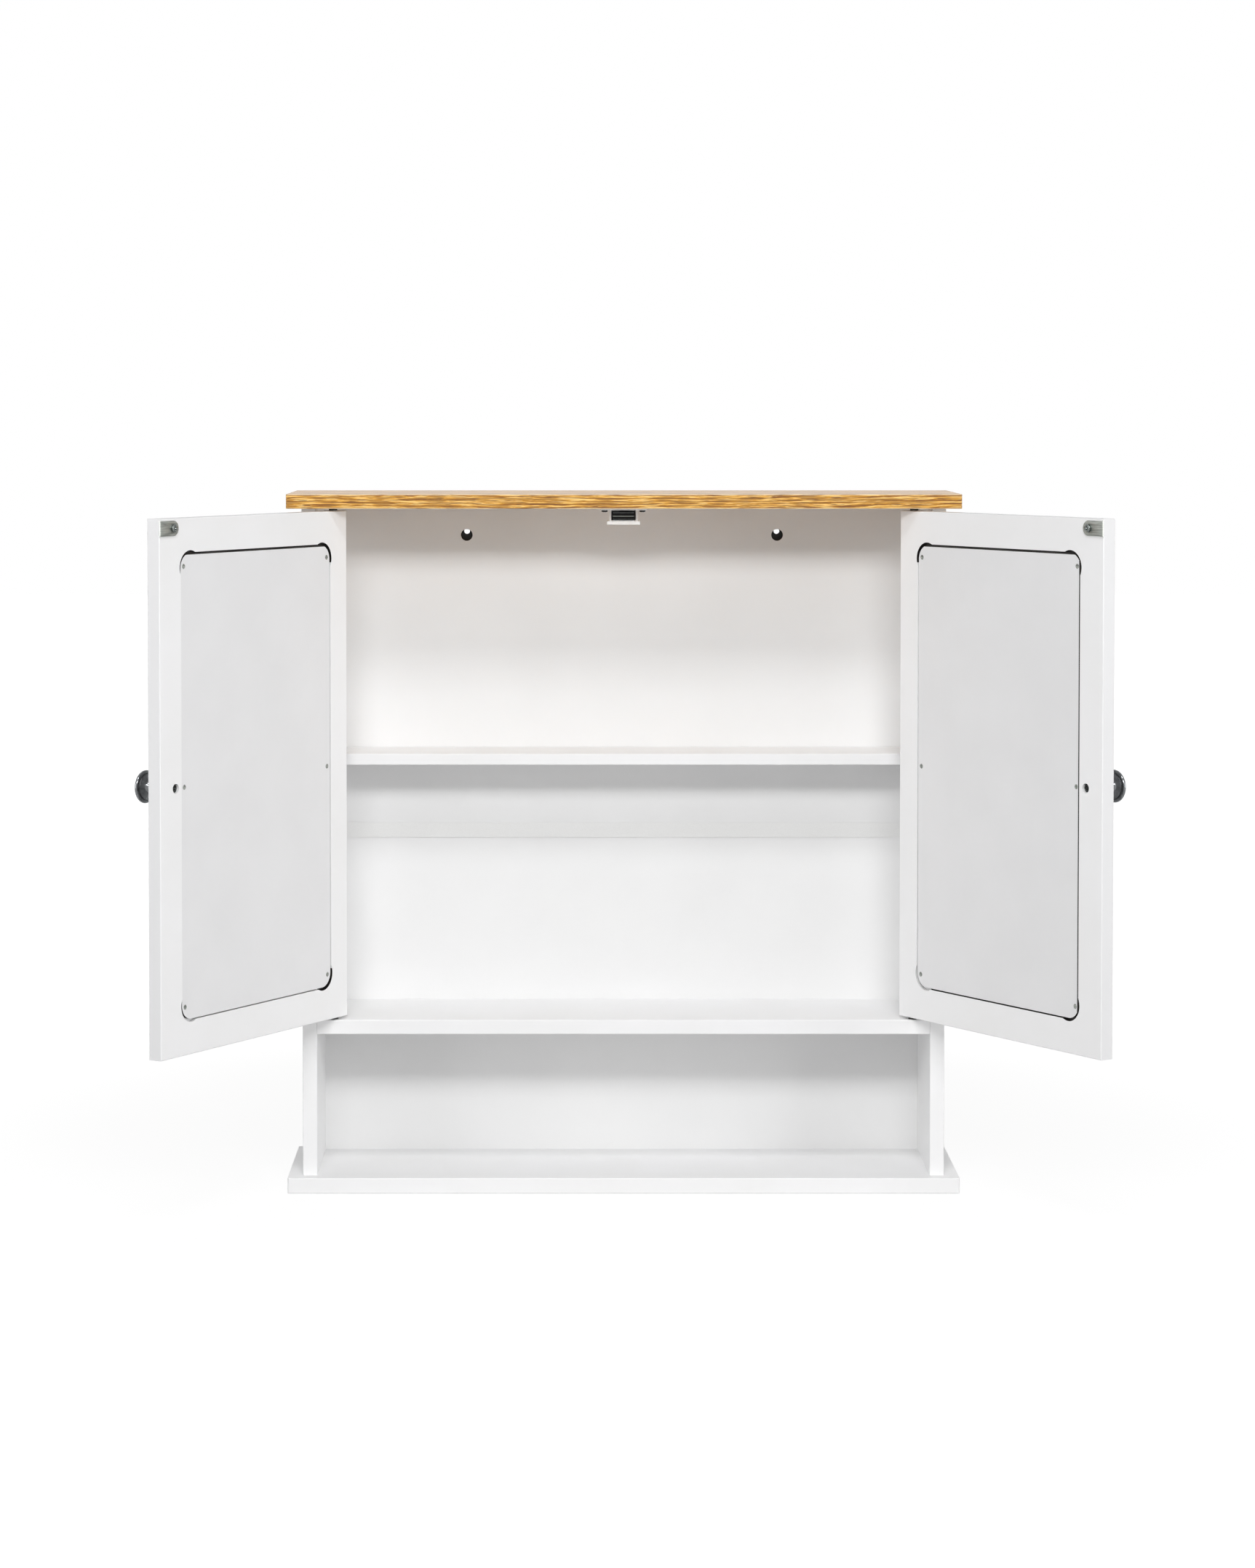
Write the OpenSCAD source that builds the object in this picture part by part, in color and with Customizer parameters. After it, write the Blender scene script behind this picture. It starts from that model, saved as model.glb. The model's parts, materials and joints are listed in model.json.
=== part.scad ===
// Double door mirrored wall cabinet of white board with an oak finished top.
// Two framed mirror doors turn on pivot pins between the top board and the fixed shelf.
// The origin is midway between the two wall screw holes, on the plane of the wall.
// +Z is up, +Y goes into the wall, and the doors are at the front, towards -Y.

/* [Carcass] */
// Width over the top and base boards
cabinet_w = 558; // [500:1:700]
// Depth over the top and base boards
cabinet_d = 130; // [122:1:170]
// Height over the top and base boards
cabinet_h = 581; // [540:1:680]
// Thickness of the top, sides and fixed shelf
board_t = 12; // [12:0.5:15]
// Thickness of the base board
base_t = 13; // [12:0.5:15]
// How far the top and base stand past the side panels, at the sides and the front
overhang = 12; // [8:1:20]
// Clear height of the open niche under the fixed shelf
niche_h = 118; // [90:1:140]
// Rounding of the long edges of the boards
edge_r = 0.8; // [0.4:0.1:1.5]
// Rounding of the upright corners of the top and base
corner_r = 1.5; // [0.8:0.1:3]

/* [Back panels] */
// Thickness of the two back panels
back_t = 3; // [2.5:0.1:4]
// Depth of the cavity between the back panels and the wall
back_cavity = 9; // [8.5:0.5:12]
// Depth of the groove that the back panels slide in
groove_deep = 4; // [3:0.5:5]
// Height of the joint between the two back panels above the base's underside
back_split_h = 289.3; // [220:0.1:320]
// Visible height of the strip that joins the two back panels
strip_h = 12.7; // [10:0.1:16]
// Wall thickness of the joining strip
strip_wall = 1; // [0.8:0.1:1.4]

/* [Middle shelf] */
// Thickness of the middle shelf
shelf_t = 9.5; // [8:0.5:12]
// Depth of the middle shelf
shelf_d = 62; // [46:1:74]
// Height of the middle shelf's top above the base's underside
shelf_h = 361; // [340:1:400]
// Diameter of the shelf pins
shelf_pin_d = 5; // [4:0.5:6]
// Distance between the rows of shelf pin holes
pin_pitch = 32; // [24:1:40]

/* [Doors] */
// Thickness of the door frames
door_t = 12; // [12:0.5:14]
// Gap between the two closed doors
meeting_gap = 2; // [1.6:0.1:4]
// Gap between a closed door's hinge edge and the side panel
hinge_gap = 3.2; // [2.6:0.1:4]
// Gap above and below the doors
lift_gap = 2; // [1.6:0.1:3]
// Opening angle of the left door, 0 is closed
left_open = 121.7; // [0:0.1:126]
// Opening angle of the right door, 0 is closed
right_open = 123.5; // [0:0.1:126]

/* [Door frames] */
// Width of the plain frame between the hinge edge and the backing panel
backing_hinge_side = 23; // [22:0.5:26]
// Width of the plain frame between the backing panel and the free edge
backing_free_side = 27; // [25:0.5:30]
// Width of the plain frame above and below the backing panel
backing_end = 27; // [25:0.5:30]
// Thickness of the backing panel
backing_t = 3; // [2.5:0.1:3.5]
// How far the backing panel lies below the back face of the frame
backing_sink = 0.8; // [0.2:0.1:1]
// Corner radius of the backing panel
backing_r = 12; // [10:1:24]
// Gap round the backing panel at its sides
backing_gap = 0.5; // [0.2:0.1:1]
// Gap above and below the backing panel
backing_end_gap = 1; // [0.2:0.1:1.2]
// How far the routed corner pockets bulge past the straight sides
corner_relief = 1.5; // [0.8:0.1:2]
// Distance from the frame's outline to the mirror glass
mirror_margin = 37; // [36:0.5:42]
// Thickness of the mirror glass
mirror_t = 3; // [2.5:0.1:3.4]
// Corner radius of the mirror glass
mirror_r = 8; // [5:1:12]
// Width of the frame round the visible mirror
sight_margin = 43; // [43:0.5:52]
// Corner radius of the visible mirror
sight_r = 5; // [3:0.5:6]
// Bevel on the front of the frame round the mirror
sight_bevel = 2; // [1:0.1:3]
// Distance from the backing panel's sides to its screws
screw_inset_x = 4.5; // [4:0.5:8]
// Distance from the backing panel's top and bottom to its corner screws
screw_inset_z = 11; // [10:0.5:16]

/* [Pivots] */
// Distance from the hinge edge of a door to its pivot axis
pivot_inset = 10.7; // [9:0.1:11]
// Diameter of the pivot pins
pivot_d = 4; // [3:0.1:4.6]
// Length of each pivot pin
pivot_len = 26; // [22:1:34]
// Diameter of the flange of a pivot bush
bush_flange_d = 7; // [6.8:0.1:9]
// Diameter of the body of a pivot bush
bush_d = 6; // [5.6:0.1:6.6]
// Depth of a pivot bush in its board
bush_len = 8; // [6:0.5:8.5]

/* [Knobs] */
// Diameter of the knob
knob_d = 26; // [22:0.5:32]
// Distance from the door's free edge to the knob's centre
knob_inset = 19.5; // [17:0.5:20]
// Diameter of the knob's neck
neck_d = 9; // [8:0.5:12]
// Length of the straight part of the neck
neck_len = 9; // [6:0.5:12]
// Height of the knob's rim
rim_h = 1.2; // [0.8:0.1:2]
// Height of the knob's dome over its rim
dome_h = 5; // [3:0.5:7]

/* [Catch and plates] */
// Width of the catch over its two ears
catch_w = 39; // [37:0.5:46]
// Width of the catch's body
catch_body_w = 24; // [22:0.5:27]
// Height of the catch
catch_h = 14; // [13:0.5:15]
// Depth of the catch
catch_d = 16; // [14:0.5:24]
// Length of a strike plate
plate_len = 23; // [21:0.5:24]
// Width of a strike plate
plate_w = 12; // [10:0.5:14]
// Thickness of a strike plate
plate_t = 1.2; // [0.8:0.1:1.6]
// Distance from a door's top edge to its strike plate
plate_drop = 1.7; // [0.8:0.1:3]

/* [Wall fixing] */
// Distance between the two wall screw holes
wall_spacing = 266; // [200:1:400]
// Distance from the top board's top down to the wall screw holes
wall_drop = 35; // [32:1:60]
// Diameter of the wall screw holes
wall_hole_d = 5; // [4:0.1:6]
// Diameter of the access holes in the back panel
access_d = 10; // [8:0.5:12]
// How far the access holes lie below the wall screw holes
access_drop = 3; // [0:0.5:3]
// Thickness of the steel wall brackets
bracket_t = 2; // [1.5:0.1:2.5]
// Width of the wall brackets
bracket_w = 34; // [32:1:60]

/* [Fittings] */
// Diameter of a cam lock
cam_d = 12; // [10:0.5:12]
// Depth of a cam lock
cam_len = 9.2; // [9:0.1:9.6]
// Distance from a board's end to the centre of its cam locks
cam_reach = 24; // [20:1:32]
// Distance from a joint's front and rear ends to its cam locks and screws
fit_inset = 26; // [20:1:32]
// Diameter of a cam bolt
cam_bolt_d = 5; // [4:0.1:6]
// Diameter of the wooden dowels
dowel_d = 6; // [5:0.5:6]
// Length of the wooden dowels
dowel_len = 22; // [20:1:30]

/* [Hidden] */
$fn = 48;
// Overlap that keeps a cut from ending exactly on a face
over = 1;
// Radial gap round a fastener in its hole
slack = 0.1;
// Radial running gap of a pivot pin in its bush
run_gap = 0.05;
// Gap that keeps two pieces from binding
ease = 0.5;

// Heights, measured from the wall screw holes
top_z = wall_drop;
base_z = top_z - cabinet_h;
floor_z = base_z + base_t;
ceiling_z = top_z - board_t;
fixed_under_z = floor_z + niche_h;
fixed_top_z = fixed_under_z + board_t;
side_h = ceiling_z - floor_z;

// Places across and along the depth
side_out_x = cabinet_w / 2 - overhang;
side_in_x = side_out_x - board_t;
side_front_y = overhang - cabinet_d;
side_d = -side_front_y;
panel_back_y = -back_cavity;
panel_front_y = panel_back_y - back_t;
inner_d = panel_front_y - side_front_y;

// Fittings of the carcass
fit_front_y = side_front_y + fit_inset;
fit_rear_y = panel_front_y - fit_inset;
fit_mid_y = (fit_front_y + fit_rear_y) / 2;
bore_skin = 3;
face_bore = board_t - bore_skin;
peg_face = face_bore - 1;
bolt_ball_d = cam_bolt_d + 1.4;
bolt_ball_len = 3;
bolt_neck_d = cam_bolt_d - 1.4;
bolt_neck_len = 6;
bolt_collar_d = cam_bolt_d + 1;
bolt_collar_t = 1.5;
bolt_room = 0.6;
cam_slot_w = cam_d / 2;
cam_slot_deep = 1.8;
base_screw_d = 4;
base_screw_len = 38;
base_head_d = 8;
base_head_h = 3;
small_screw_d = 3;
small_hole_d = small_screw_d + 0.4;

// Middle shelf and its pins
shelf_top_z = base_z + shelf_h;
shelf_under_z = shelf_top_z - shelf_t;
shelf_front_y = panel_front_y - ease - shelf_d;
pin_inset = 15;
pin_ys = [shelf_front_y + pin_inset, shelf_front_y + shelf_d - pin_inset];
pin_z = shelf_under_z - shelf_pin_d / 2;
pin_depth = 8;
pin_reach = 8;
pin_collar_d = shelf_pin_d + 2;
pin_collar_t = 1.2;

// Doors, each drawn about its own pivot axis with the free edge towards +X
door_h = ceiling_z - fixed_top_z - 2 * lift_gap;
door_z = fixed_top_z + lift_gap;
door_w = side_in_x - hinge_gap - meeting_gap / 2;
pivot_x = side_in_x - hinge_gap - pivot_inset;
pivot_y = side_front_y + door_t / 2;
door_x0 = -pivot_inset;
door_x1 = door_w - pivot_inset;
front_y = -door_t / 2;
rear_y = door_t / 2;
mid_z = door_z + door_h / 2;
backing_seat_y = rear_y - backing_sink - backing_t;
mirror_seat_y = backing_seat_y - mirror_t;
pocket_arc_r = backing_r + corner_relief;
backing_screw_d = 2.4;
backing_screw_len = 8;
backing_head_d = 3.8;
backing_head_h = 1.6;
pivot_end_gap = 1;
pivot_out = bush_len - pivot_end_gap + lift_gap;
flange_gap = 0.3;
pivot_in = pivot_len - pivot_out;

// Knob and its screw
knob_x = door_x1 - knob_inset;
cove_r = (knob_d - neck_d) / 2;
cove_lip = 0.6;
rim_z = neck_len + cove_r;
dome_r = (knob_d * knob_d / 4 + dome_h * dome_h) / (2 * dome_h);
knob_foot_out = 2;
knob_foot_d = neck_d + 2 * knob_foot_out;
knob_foot_h = 1.6;
knob_screw_d = 4;
knob_thread = 9;
knob_head_d = 7;
knob_head_h = 2.4;
counterbore_d = 7.6;
counterbore_h = 3.4;

// Strike plates and the magnetic catch
plate_z = door_z + door_h - plate_drop - plate_w;
plate_hole_x = door_x1 - plate_len + plate_w / 2;
strike_head_d = 6.4;
strike_head_h = 1.8;
strike_screw_len = 8;
strike_screw_d = 2.6;
strike_hole_d = strike_screw_d + 1;
catch_gap = 0.2;
pole_front_y = side_front_y + door_t + plate_t + catch_gap;
pole_out = 0.4;
housing_front_y = pole_front_y + pole_out;
ear_t = 2;
ear_d = 10;
catch_under_z = ceiling_z - catch_h;
ledge_h = 2.4;
ledge_out = 1.8;
window_w = 18;
window_h = 6.8;
window_rise = 1.4;
window_z = catch_under_z + ledge_h + window_rise;
window_wall = 2;
catch_r = 1.5;
ledge_r = 1;
ear_r = 3;
magnet_sink = 1;
pole_gap = 0.05;
pole_t = 1.2;
catch_screw_x = (catch_w + catch_body_w) / 4;
catch_screw_y = housing_front_y + ear_d / 2;
catch_screw_len = 9;
catch_head_d = 5;
catch_head_h = 1.8;

// Wall brackets
bracket_gap = 0.2;
bracket_top_d = back_cavity - bracket_gap;
bracket_drop = 12;
bracket_r = 3;
bracket_screw_y = -bracket_t - (bracket_top_d - bracket_t) / 2;
bracket_screw_inset = 8;
bracket_screw_x = bracket_w / 2 - bracket_screw_inset;
bracket_screw_len = 9;
bracket_head_d = 5;
bracket_head_h = 1.8;

// A rectangle from the origin with its corners rounded by true arcs
module round_rect(w, h, r) {
    translate([r, 0]) square([w - 2 * r, h]);
    translate([0, r]) square([w, h - 2 * r]);
    for (x = [r, w - r], y = [r, h - r]) translate([x, y]) circle(r);
}

// Turns a drawing in the YZ plane into a bar along X, from x to x + len
module along_x(x, len) {
    translate([x, 0, 0]) rotate([90, 0, 90]) linear_extrude(len) children();
}

// Turns a drawing in the XZ plane into a plate along Y, from y to y + len
module along_y(y, len) {
    translate([0, y + len, 0]) rotate([90, 0, 0]) linear_extrude(len) children();
}

// A round bar from a point along a named direction
module rod(p, turn, d, len) {
    translate(p) rotate(turn) cylinder(d = d, h = len);
}

// Directions for rod and for the screws
up = [0, 0, 0];
down = [180, 0, 0];
to_front = [90, 0, 0];
to_back = [-90, 0, 0];
to_right = [0, 90, 0];
to_left = [0, -90, 0];

// A board with rounded long edges and plain ends, centred in X
module plain_board(w, y, d, z, t) {
    translate([0, y, z]) along_x(-w / 2, w) round_rect(d, t, edge_r);
}

// The same board with its upright corners rounded as well
module capped_board(w, y, d, z, t) {
    intersection() {
        plain_board(w, y, d, z, t);
        translate([-w / 2, y, z]) linear_extrude(t) round_rect(w, d, corner_r);
    }
}

// A countersunk screw with a cross recess, its head's face at the origin and its tip up
module sunk_screw(d, len, head_d, head_h) {
    tip = d * 0.8;
    difference() {
        union() {
            cylinder(d1 = head_d, d2 = d, h = head_h);
            cylinder(d = d, h = len - tip);
            translate([0, 0, len - tip]) cylinder(d1 = d, d2 = d * 0.2, h = tip);
        }
        cross_recess(head_d * 0.55, head_h * 0.6);
    }
}

// A pan head screw with a cross recess, the underside of its head at the origin and its tip up
module pan_screw(d, len, head_d, head_h) {
    tip = d * 0.8;
    difference() {
        union() {
            translate([0, 0, -head_h]) rotate_extrude() pan_profile(head_d, head_h);
            cylinder(d = d, h = len - tip);
            translate([0, 0, len - tip]) cylinder(d1 = d, d2 = d * 0.2, h = tip);
        }
        translate([0, 0, -head_h]) cross_recess(head_d * 0.55, head_h * 0.6);
    }
}

// Half outline of a pan head, its rounded top at y = 0
module pan_profile(head_d, head_h) {
    r = head_h * 0.6;
    translate([0, r]) square([head_d / 2, head_h - r]);
    square([head_d / 2 - r, head_h]);
    intersection() {
        translate([head_d / 2 - r, r]) circle(r);
        square([head_d / 2, head_h]);
    }
}

// The two crossed slots of a driver recess, cut upward from z = 0
module cross_recess(size, deep) {
    slot = size / 4;
    for (turn = [0, 90]) rotate(turn) {
        translate([-size / 2, -slot / 2, -over]) cube([size, slot, deep + over]);
    }
}

// Repeats its children at the two sides, the left one mirrored
module both_sides() {
    children();
    mirror([1, 0, 0]) children();
}

// The outline of the groove for the back panels, seen from the end
module groove_outline(deep) {
    translate([panel_front_y - slack, 0]) square([back_t + 2 * slack, deep + over]);
}

// One cam bolt from the face of a board, its threaded end going down and its ball up
module cam_bolt() {
    shank = cam_reach - bolt_neck_len;
    translate([0, 0, -peg_face]) cylinder(d = cam_bolt_d - 2 * slack, h = peg_face + shank);
    cylinder(d = bolt_collar_d, h = bolt_collar_t);
    translate([0, 0, shank]) cylinder(d = bolt_neck_d, h = bolt_neck_len);
    translate([0, 0, cam_reach - bolt_ball_len / 2]) cylinder(d = bolt_ball_d, h = bolt_ball_len);
}

// One cam lock, its slotted face at z = 0 and its body going up, open towards -X
module cam_lock() {
    difference() {
        cylinder(d = cam_d - 2 * slack, h = cam_len);
        translate([-cam_d, 0, board_t / 2]) rotate(to_right) {
            cylinder(d = bolt_ball_d + bolt_room, h = cam_d + bolt_ball_len);
        }
        cross_recess(cam_slot_w, cam_slot_deep);
    }
}

// The pocket of a cam lock and the channel of its bolt, placed like the cam lock
module cam_pocket() {
    translate([0, 0, -over]) cylinder(d = cam_d, h = cam_len + over);
    translate([-cam_reach - over, 0, board_t / 2]) rotate(to_right) {
        cylinder(d = bolt_ball_d + bolt_room, h = cam_reach + over);
    }
}

// Places a cam lock of the top joint, in the right side panel's inner face
module at_top_cam(y) {
    translate([side_in_x, y, ceiling_z - cam_reach]) rotate([0, 90, 0]) children();
}

// Places a cam lock of the shelf joint, in the fixed shelf's underside at its right end
module at_shelf_cam(y) {
    translate([side_in_x - cam_reach, y, fixed_under_z]) mirror([1, 0, 0]) children();
}

// Every dowel of the right half, with its end gap and radial gap taken off
module dowel_set(shrink) {
    len = dowel_len - shrink * 2;
    d = dowel_d - 2 * shrink * slack;
    edge = dowel_len - peg_face;
    edge_x = side_in_x + board_t / 2;
    rod([edge_x, fit_mid_y, ceiling_z - edge + shrink], up, d, len);
    rod([edge_x, fit_mid_y, floor_z - peg_face + shrink], up, d, len);
    rod([side_in_x - edge + shrink, fit_mid_y, fixed_under_z + board_t / 2], to_right, d, len);
}

module top_board() {
    color("burlywood") difference() {
        capped_board(cabinet_w, -cabinet_d, cabinet_d, ceiling_z, board_t);
        translate([0, 0, ceiling_z - over]) {
            along_x(-side_in_x - groove_deep, 2 * (side_in_x + groove_deep)) groove_outline(groove_deep);
        }
        both_sides() {
            rod([pivot_x, pivot_y, ceiling_z - over], up, bush_d, bush_len + ease + over);
            dowel_set(0);
            for (y = [fit_front_y, fit_rear_y]) {
                rod([side_in_x + board_t / 2, y, ceiling_z - over], up, cam_bolt_d, face_bore + over);
            }
            rod([catch_screw_x, catch_screw_y, ceiling_z - over], up, small_screw_d,
                catch_screw_len - ear_t + over);
            for (x = [-bracket_screw_x, bracket_screw_x]) {
                rod([wall_spacing / 2 + x, bracket_screw_y, ceiling_z - over], up, small_screw_d,
                    bracket_screw_len - bracket_t + over);
            }
        }
    }
}

module base_board() {
    color("white") difference() {
        capped_board(cabinet_w, -cabinet_d, cabinet_d, base_z, base_t);
        translate([0, 0, floor_z - groove_deep]) {
            along_x(-side_in_x - groove_deep, 2 * (side_in_x + groove_deep)) groove_outline(groove_deep);
        }
        both_sides() {
            dowel_set(0);
            for (y = [fit_front_y, fit_rear_y]) translate([side_in_x + board_t / 2, y, base_z]) {
                translate([0, 0, -over]) cylinder(d = base_screw_d + 2 * slack, h = base_t + 2 * over);
                cylinder(d1 = base_head_d + 2 * slack, d2 = base_screw_d + 2 * slack, h = base_head_h);
            }
        }
    }
}

module right_side_panel() {
    color("white") difference() {
        translate([side_in_x, side_front_y, floor_z]) linear_extrude(side_h) {
            round_rect(board_t, side_d, edge_r);
        }
        translate([side_in_x - over, panel_front_y - slack, floor_z - over]) {
            cube([groove_deep + over, back_t + 2 * slack, side_h + 2 * over]);
        }
        dowel_set(0);
        for (y = [fit_front_y, fit_rear_y]) {
            at_top_cam(y) cam_pocket();
            rod([side_in_x - over, y, fixed_under_z + board_t / 2], to_right, cam_bolt_d, face_bore + over);
            rod([side_in_x + board_t / 2, y, floor_z - over], up, base_screw_d,
                base_screw_len - base_t + over);
        }
        for (y = pin_ys, step = [-1, 0, 1]) {
            rod([side_in_x - over, y, pin_z + step * pin_pitch], to_right, shelf_pin_d,
                pin_depth + ease + over);
        }
    }
}

module left_side() {
    mirror([1, 0, 0]) right_side_panel();
}

module right_side() {
    right_side_panel();
}

module fixed_shelf() {
    color("white") difference() {
        plain_board(2 * side_in_x, side_front_y, inner_d, fixed_under_z, board_t);
        both_sides() {
            dowel_set(0);
            rod([pivot_x, pivot_y, fixed_top_z + over], down, bush_d, bush_len + ease + over);
            for (y = [fit_front_y, fit_rear_y]) at_shelf_cam(y) cam_pocket();
        }
    }
}

module middle_shelf() {
    color("white") plain_board(2 * (side_in_x - ease), shelf_front_y, shelf_d, shelf_under_z, shelf_t);
}

// A peg with a collar, and a flat topped tongue that carries the shelf
module shelf_pin() {
    d = shelf_pin_d - 2 * slack;
    rotate(to_right) cylinder(d = d, h = pin_depth);
    rotate(to_left) cylinder(d = pin_collar_d, h = pin_collar_t);
    rotate(to_left) cylinder(d = shelf_pin_d, h = pin_reach);
    translate([-pin_reach, -pin_collar_d / 2, 0]) cube([pin_reach, pin_collar_d, shelf_pin_d / 2]);
}

module shelf_pins() {
    color("silver") both_sides() {
        for (y = pin_ys) translate([side_in_x, y, pin_z]) difference() {
            shelf_pin();
            translate([-pin_reach - over, -pin_collar_d, shelf_pin_d / 2]) {
                cube([pin_reach + over, 2 * pin_collar_d, pin_collar_d]);
            }
        }
    }
}

// One back panel between two heights, as wide as the grooves let it
module back_panel(z0, z1) {
    w = 2 * (side_in_x + groove_deep - ease);
    translate([-w / 2, panel_front_y, z0]) cube([w, back_t, z1 - z0]);
}

module upper_back_panel() {
    color("white") difference() {
        back_panel(base_z + back_split_h + strip_wall / 2, ceiling_z + groove_deep - ease);
        for (x = [-wall_spacing / 2, wall_spacing / 2]) {
            rod([x, panel_front_y - over, -access_drop], to_back, access_d, back_t + 2 * over);
        }
    }
}

module lower_back_panel() {
    color("white") back_panel(floor_z - groove_deep + ease, base_z + back_split_h - strip_wall / 2);
}

// An H section that holds the facing edges of the two back panels
module back_joint_strip() {
    web = back_t + 2 * strip_wall;
    x = side_in_x - ease;
    color("whitesmoke") translate([0, 0, base_z + back_split_h]) along_x(-x, 2 * x) {
        translate([panel_front_y - strip_wall, -strip_h / 2]) square([strip_wall, strip_h]);
        translate([panel_back_y, -strip_h / 2]) square([strip_wall, strip_h]);
        translate([panel_front_y - strip_wall, -strip_wall / 2]) square([web, strip_wall]);
    }
}

// The end view of a wall bracket: a long leg on the wall, a bend, and a short leg under the top
module bracket_section() {
    bend = [-bracket_t, ceiling_z - bracket_t];
    translate([-bracket_t, -bracket_drop]) square([bracket_t, bracket_drop + bend[1]]);
    translate([-bracket_top_d, bend[1]]) square([bracket_top_d - bracket_t, bracket_t]);
    intersection() {
        translate(bend) circle(bracket_t);
        translate(bend) square(bracket_t);
    }
}

// Two L brackets of bent steel strip under the top board, in the cavity behind the back panel
module wall_brackets() {
    color("dimgray") for (side = [-1, 1]) translate([side * wall_spacing / 2, 0, 0]) difference() {
        intersection() {
            along_x(-bracket_w / 2, bracket_w) bracket_section();
            along_y(-bracket_top_d - over, bracket_top_d + 2 * over) {
                translate([-bracket_w / 2, -bracket_drop]) {
                    round_rect(bracket_w, bracket_drop + ceiling_z + bracket_r, bracket_r);
                }
            }
        }
        rod([0, over, 0], to_front, wall_hole_d, bracket_t + 2 * over);
        for (x = [-bracket_screw_x, bracket_screw_x]) {
            rod([x, bracket_screw_y, ceiling_z + over], down, small_hole_d, bracket_t + 2 * over);
        }
    }
}

module bracket_screws() {
    color("gray") both_sides() for (x = [-bracket_screw_x, bracket_screw_x]) {
        translate([wall_spacing / 2 + x, bracket_screw_y, ceiling_z - bracket_t]) {
            pan_screw(small_screw_d - 2 * slack, bracket_screw_len, bracket_head_d, bracket_head_h);
        }
    }
}

module cam_locks() {
    color("silver") both_sides() for (y = [fit_front_y, fit_rear_y]) {
        at_top_cam(y) cam_lock();
        at_shelf_cam(y) cam_lock();
    }
}

module cam_bolts() {
    color("silver") both_sides() for (y = [fit_front_y, fit_rear_y]) {
        translate([side_in_x + board_t / 2, y, ceiling_z]) rotate(down) cam_bolt();
        translate([side_in_x, y, fixed_under_z + board_t / 2]) rotate(to_left) cam_bolt();
    }
}

module dowels() {
    color("tan") both_sides() dowel_set(1);
}

module base_screws() {
    color("silver") both_sides() for (y = [fit_front_y, fit_rear_y]) {
        translate([side_in_x + board_t / 2, y, base_z]) {
            sunk_screw(base_screw_d, base_screw_len, base_head_d, base_head_h);
        }
    }
}

// A flanged bush with its flange from z = 0 up to the given height
module pivot_bush(flange_t) {
    difference() {
        union() {
            cylinder(d = bush_flange_d, h = flange_t);
            translate([0, 0, -bush_len]) cylinder(d = bush_d - slack, h = bush_len + flange_t);
        }
        translate([0, 0, -bush_len - over]) {
            cylinder(d = pivot_d + 2 * run_gap, h = bush_len + flange_t + 2 * over);
        }
    }
}

module pivot_bushes() {
    color("black") both_sides() {
        translate([pivot_x, pivot_y, fixed_top_z]) pivot_bush(lift_gap);
        translate([pivot_x, pivot_y, ceiling_z]) rotate(down) pivot_bush(lift_gap - flange_gap);
    }
}

// A box with two screw ears under the top board, open at the front for the magnet
module catch_housing() {
    color("white") difference() {
        union() {
            translate([-catch_w / 2, housing_front_y, ceiling_z - ear_t]) {
                linear_extrude(ear_t) round_rect(catch_w, ear_d, ear_r);
            }
            translate([0, 0, catch_under_z]) along_y(housing_front_y, catch_d) {
                translate([-catch_body_w / 2, 0]) round_rect(catch_body_w, catch_h, catch_r);
                translate([-catch_body_w / 2 - ledge_out, 0]) {
                    round_rect(catch_body_w + 2 * ledge_out, ledge_h, ledge_r);
                }
                translate([-catch_body_w / 2, catch_h / 2]) square([catch_body_w, catch_h / 2]);
            }
        }
        translate([-window_w / 2, housing_front_y - over, window_z]) {
            cube([window_w, catch_d - window_wall + over, window_h]);
        }
        for (x = [-catch_screw_x, catch_screw_x]) {
            rod([x, catch_screw_y, ceiling_z + over], down, small_hole_d, ear_t + 2 * over);
        }
    }
}

module catch_magnet() {
    w = window_w - 2 * slack;
    h = window_h - 2 * (pole_t + pole_gap + slack);
    color("darkslategray") translate([-w / 2, pole_front_y + magnet_sink, window_z + (window_h - h) / 2]) {
        cube([w, catch_d - window_wall - magnet_sink, h]);
    }
}

module catch_pole_plates() {
    w = window_w - 2 * slack;
    color("gray") for (z = [window_z + pole_gap, window_z + window_h - pole_t - pole_gap]) {
        translate([-w / 2, pole_front_y, z]) cube([w, catch_d - window_wall, pole_t]);
    }
}

module catch_screws() {
    color("gray") for (x = [-catch_screw_x, catch_screw_x]) {
        translate([x, catch_screw_y, ceiling_z - ear_t]) {
            pan_screw(small_screw_d - 2 * slack, catch_screw_len, catch_head_d, catch_head_h);
        }
    }
}

// Turns a door's pieces about the pivot to the opening angle, the right door mirrored
module hung(side) {
    swing = side < 0 ? -left_open : right_open;
    translate([side * pivot_x, pivot_y, 0]) rotate(swing) {
        if (side < 0) children();
        else mirror([1, 0, 0]) children();
    }
}

// An outline inside the door's own, by a margin at the hinge side, the free side and the ends
module door_inset(near, far, end, r) {
    translate([door_x0 + near, door_z + end]) round_rect(door_w - near - far, door_h - 2 * end, r);
}

// The routed pocket of the backing panel, whose corner arcs bulge past its straight sides
module backing_pocket() {
    door_inset(backing_hinge_side, backing_free_side, backing_end, backing_r);
    x0 = door_x0 + backing_hinge_side + backing_r;
    x1 = door_x1 - backing_free_side - backing_r;
    near_z = backing_end + backing_r;
    for (x = [x0, x1], z = [door_z + near_z, door_z + door_h - near_z]) {
        translate([x, z]) circle(pocket_arc_r);
    }
}

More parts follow.
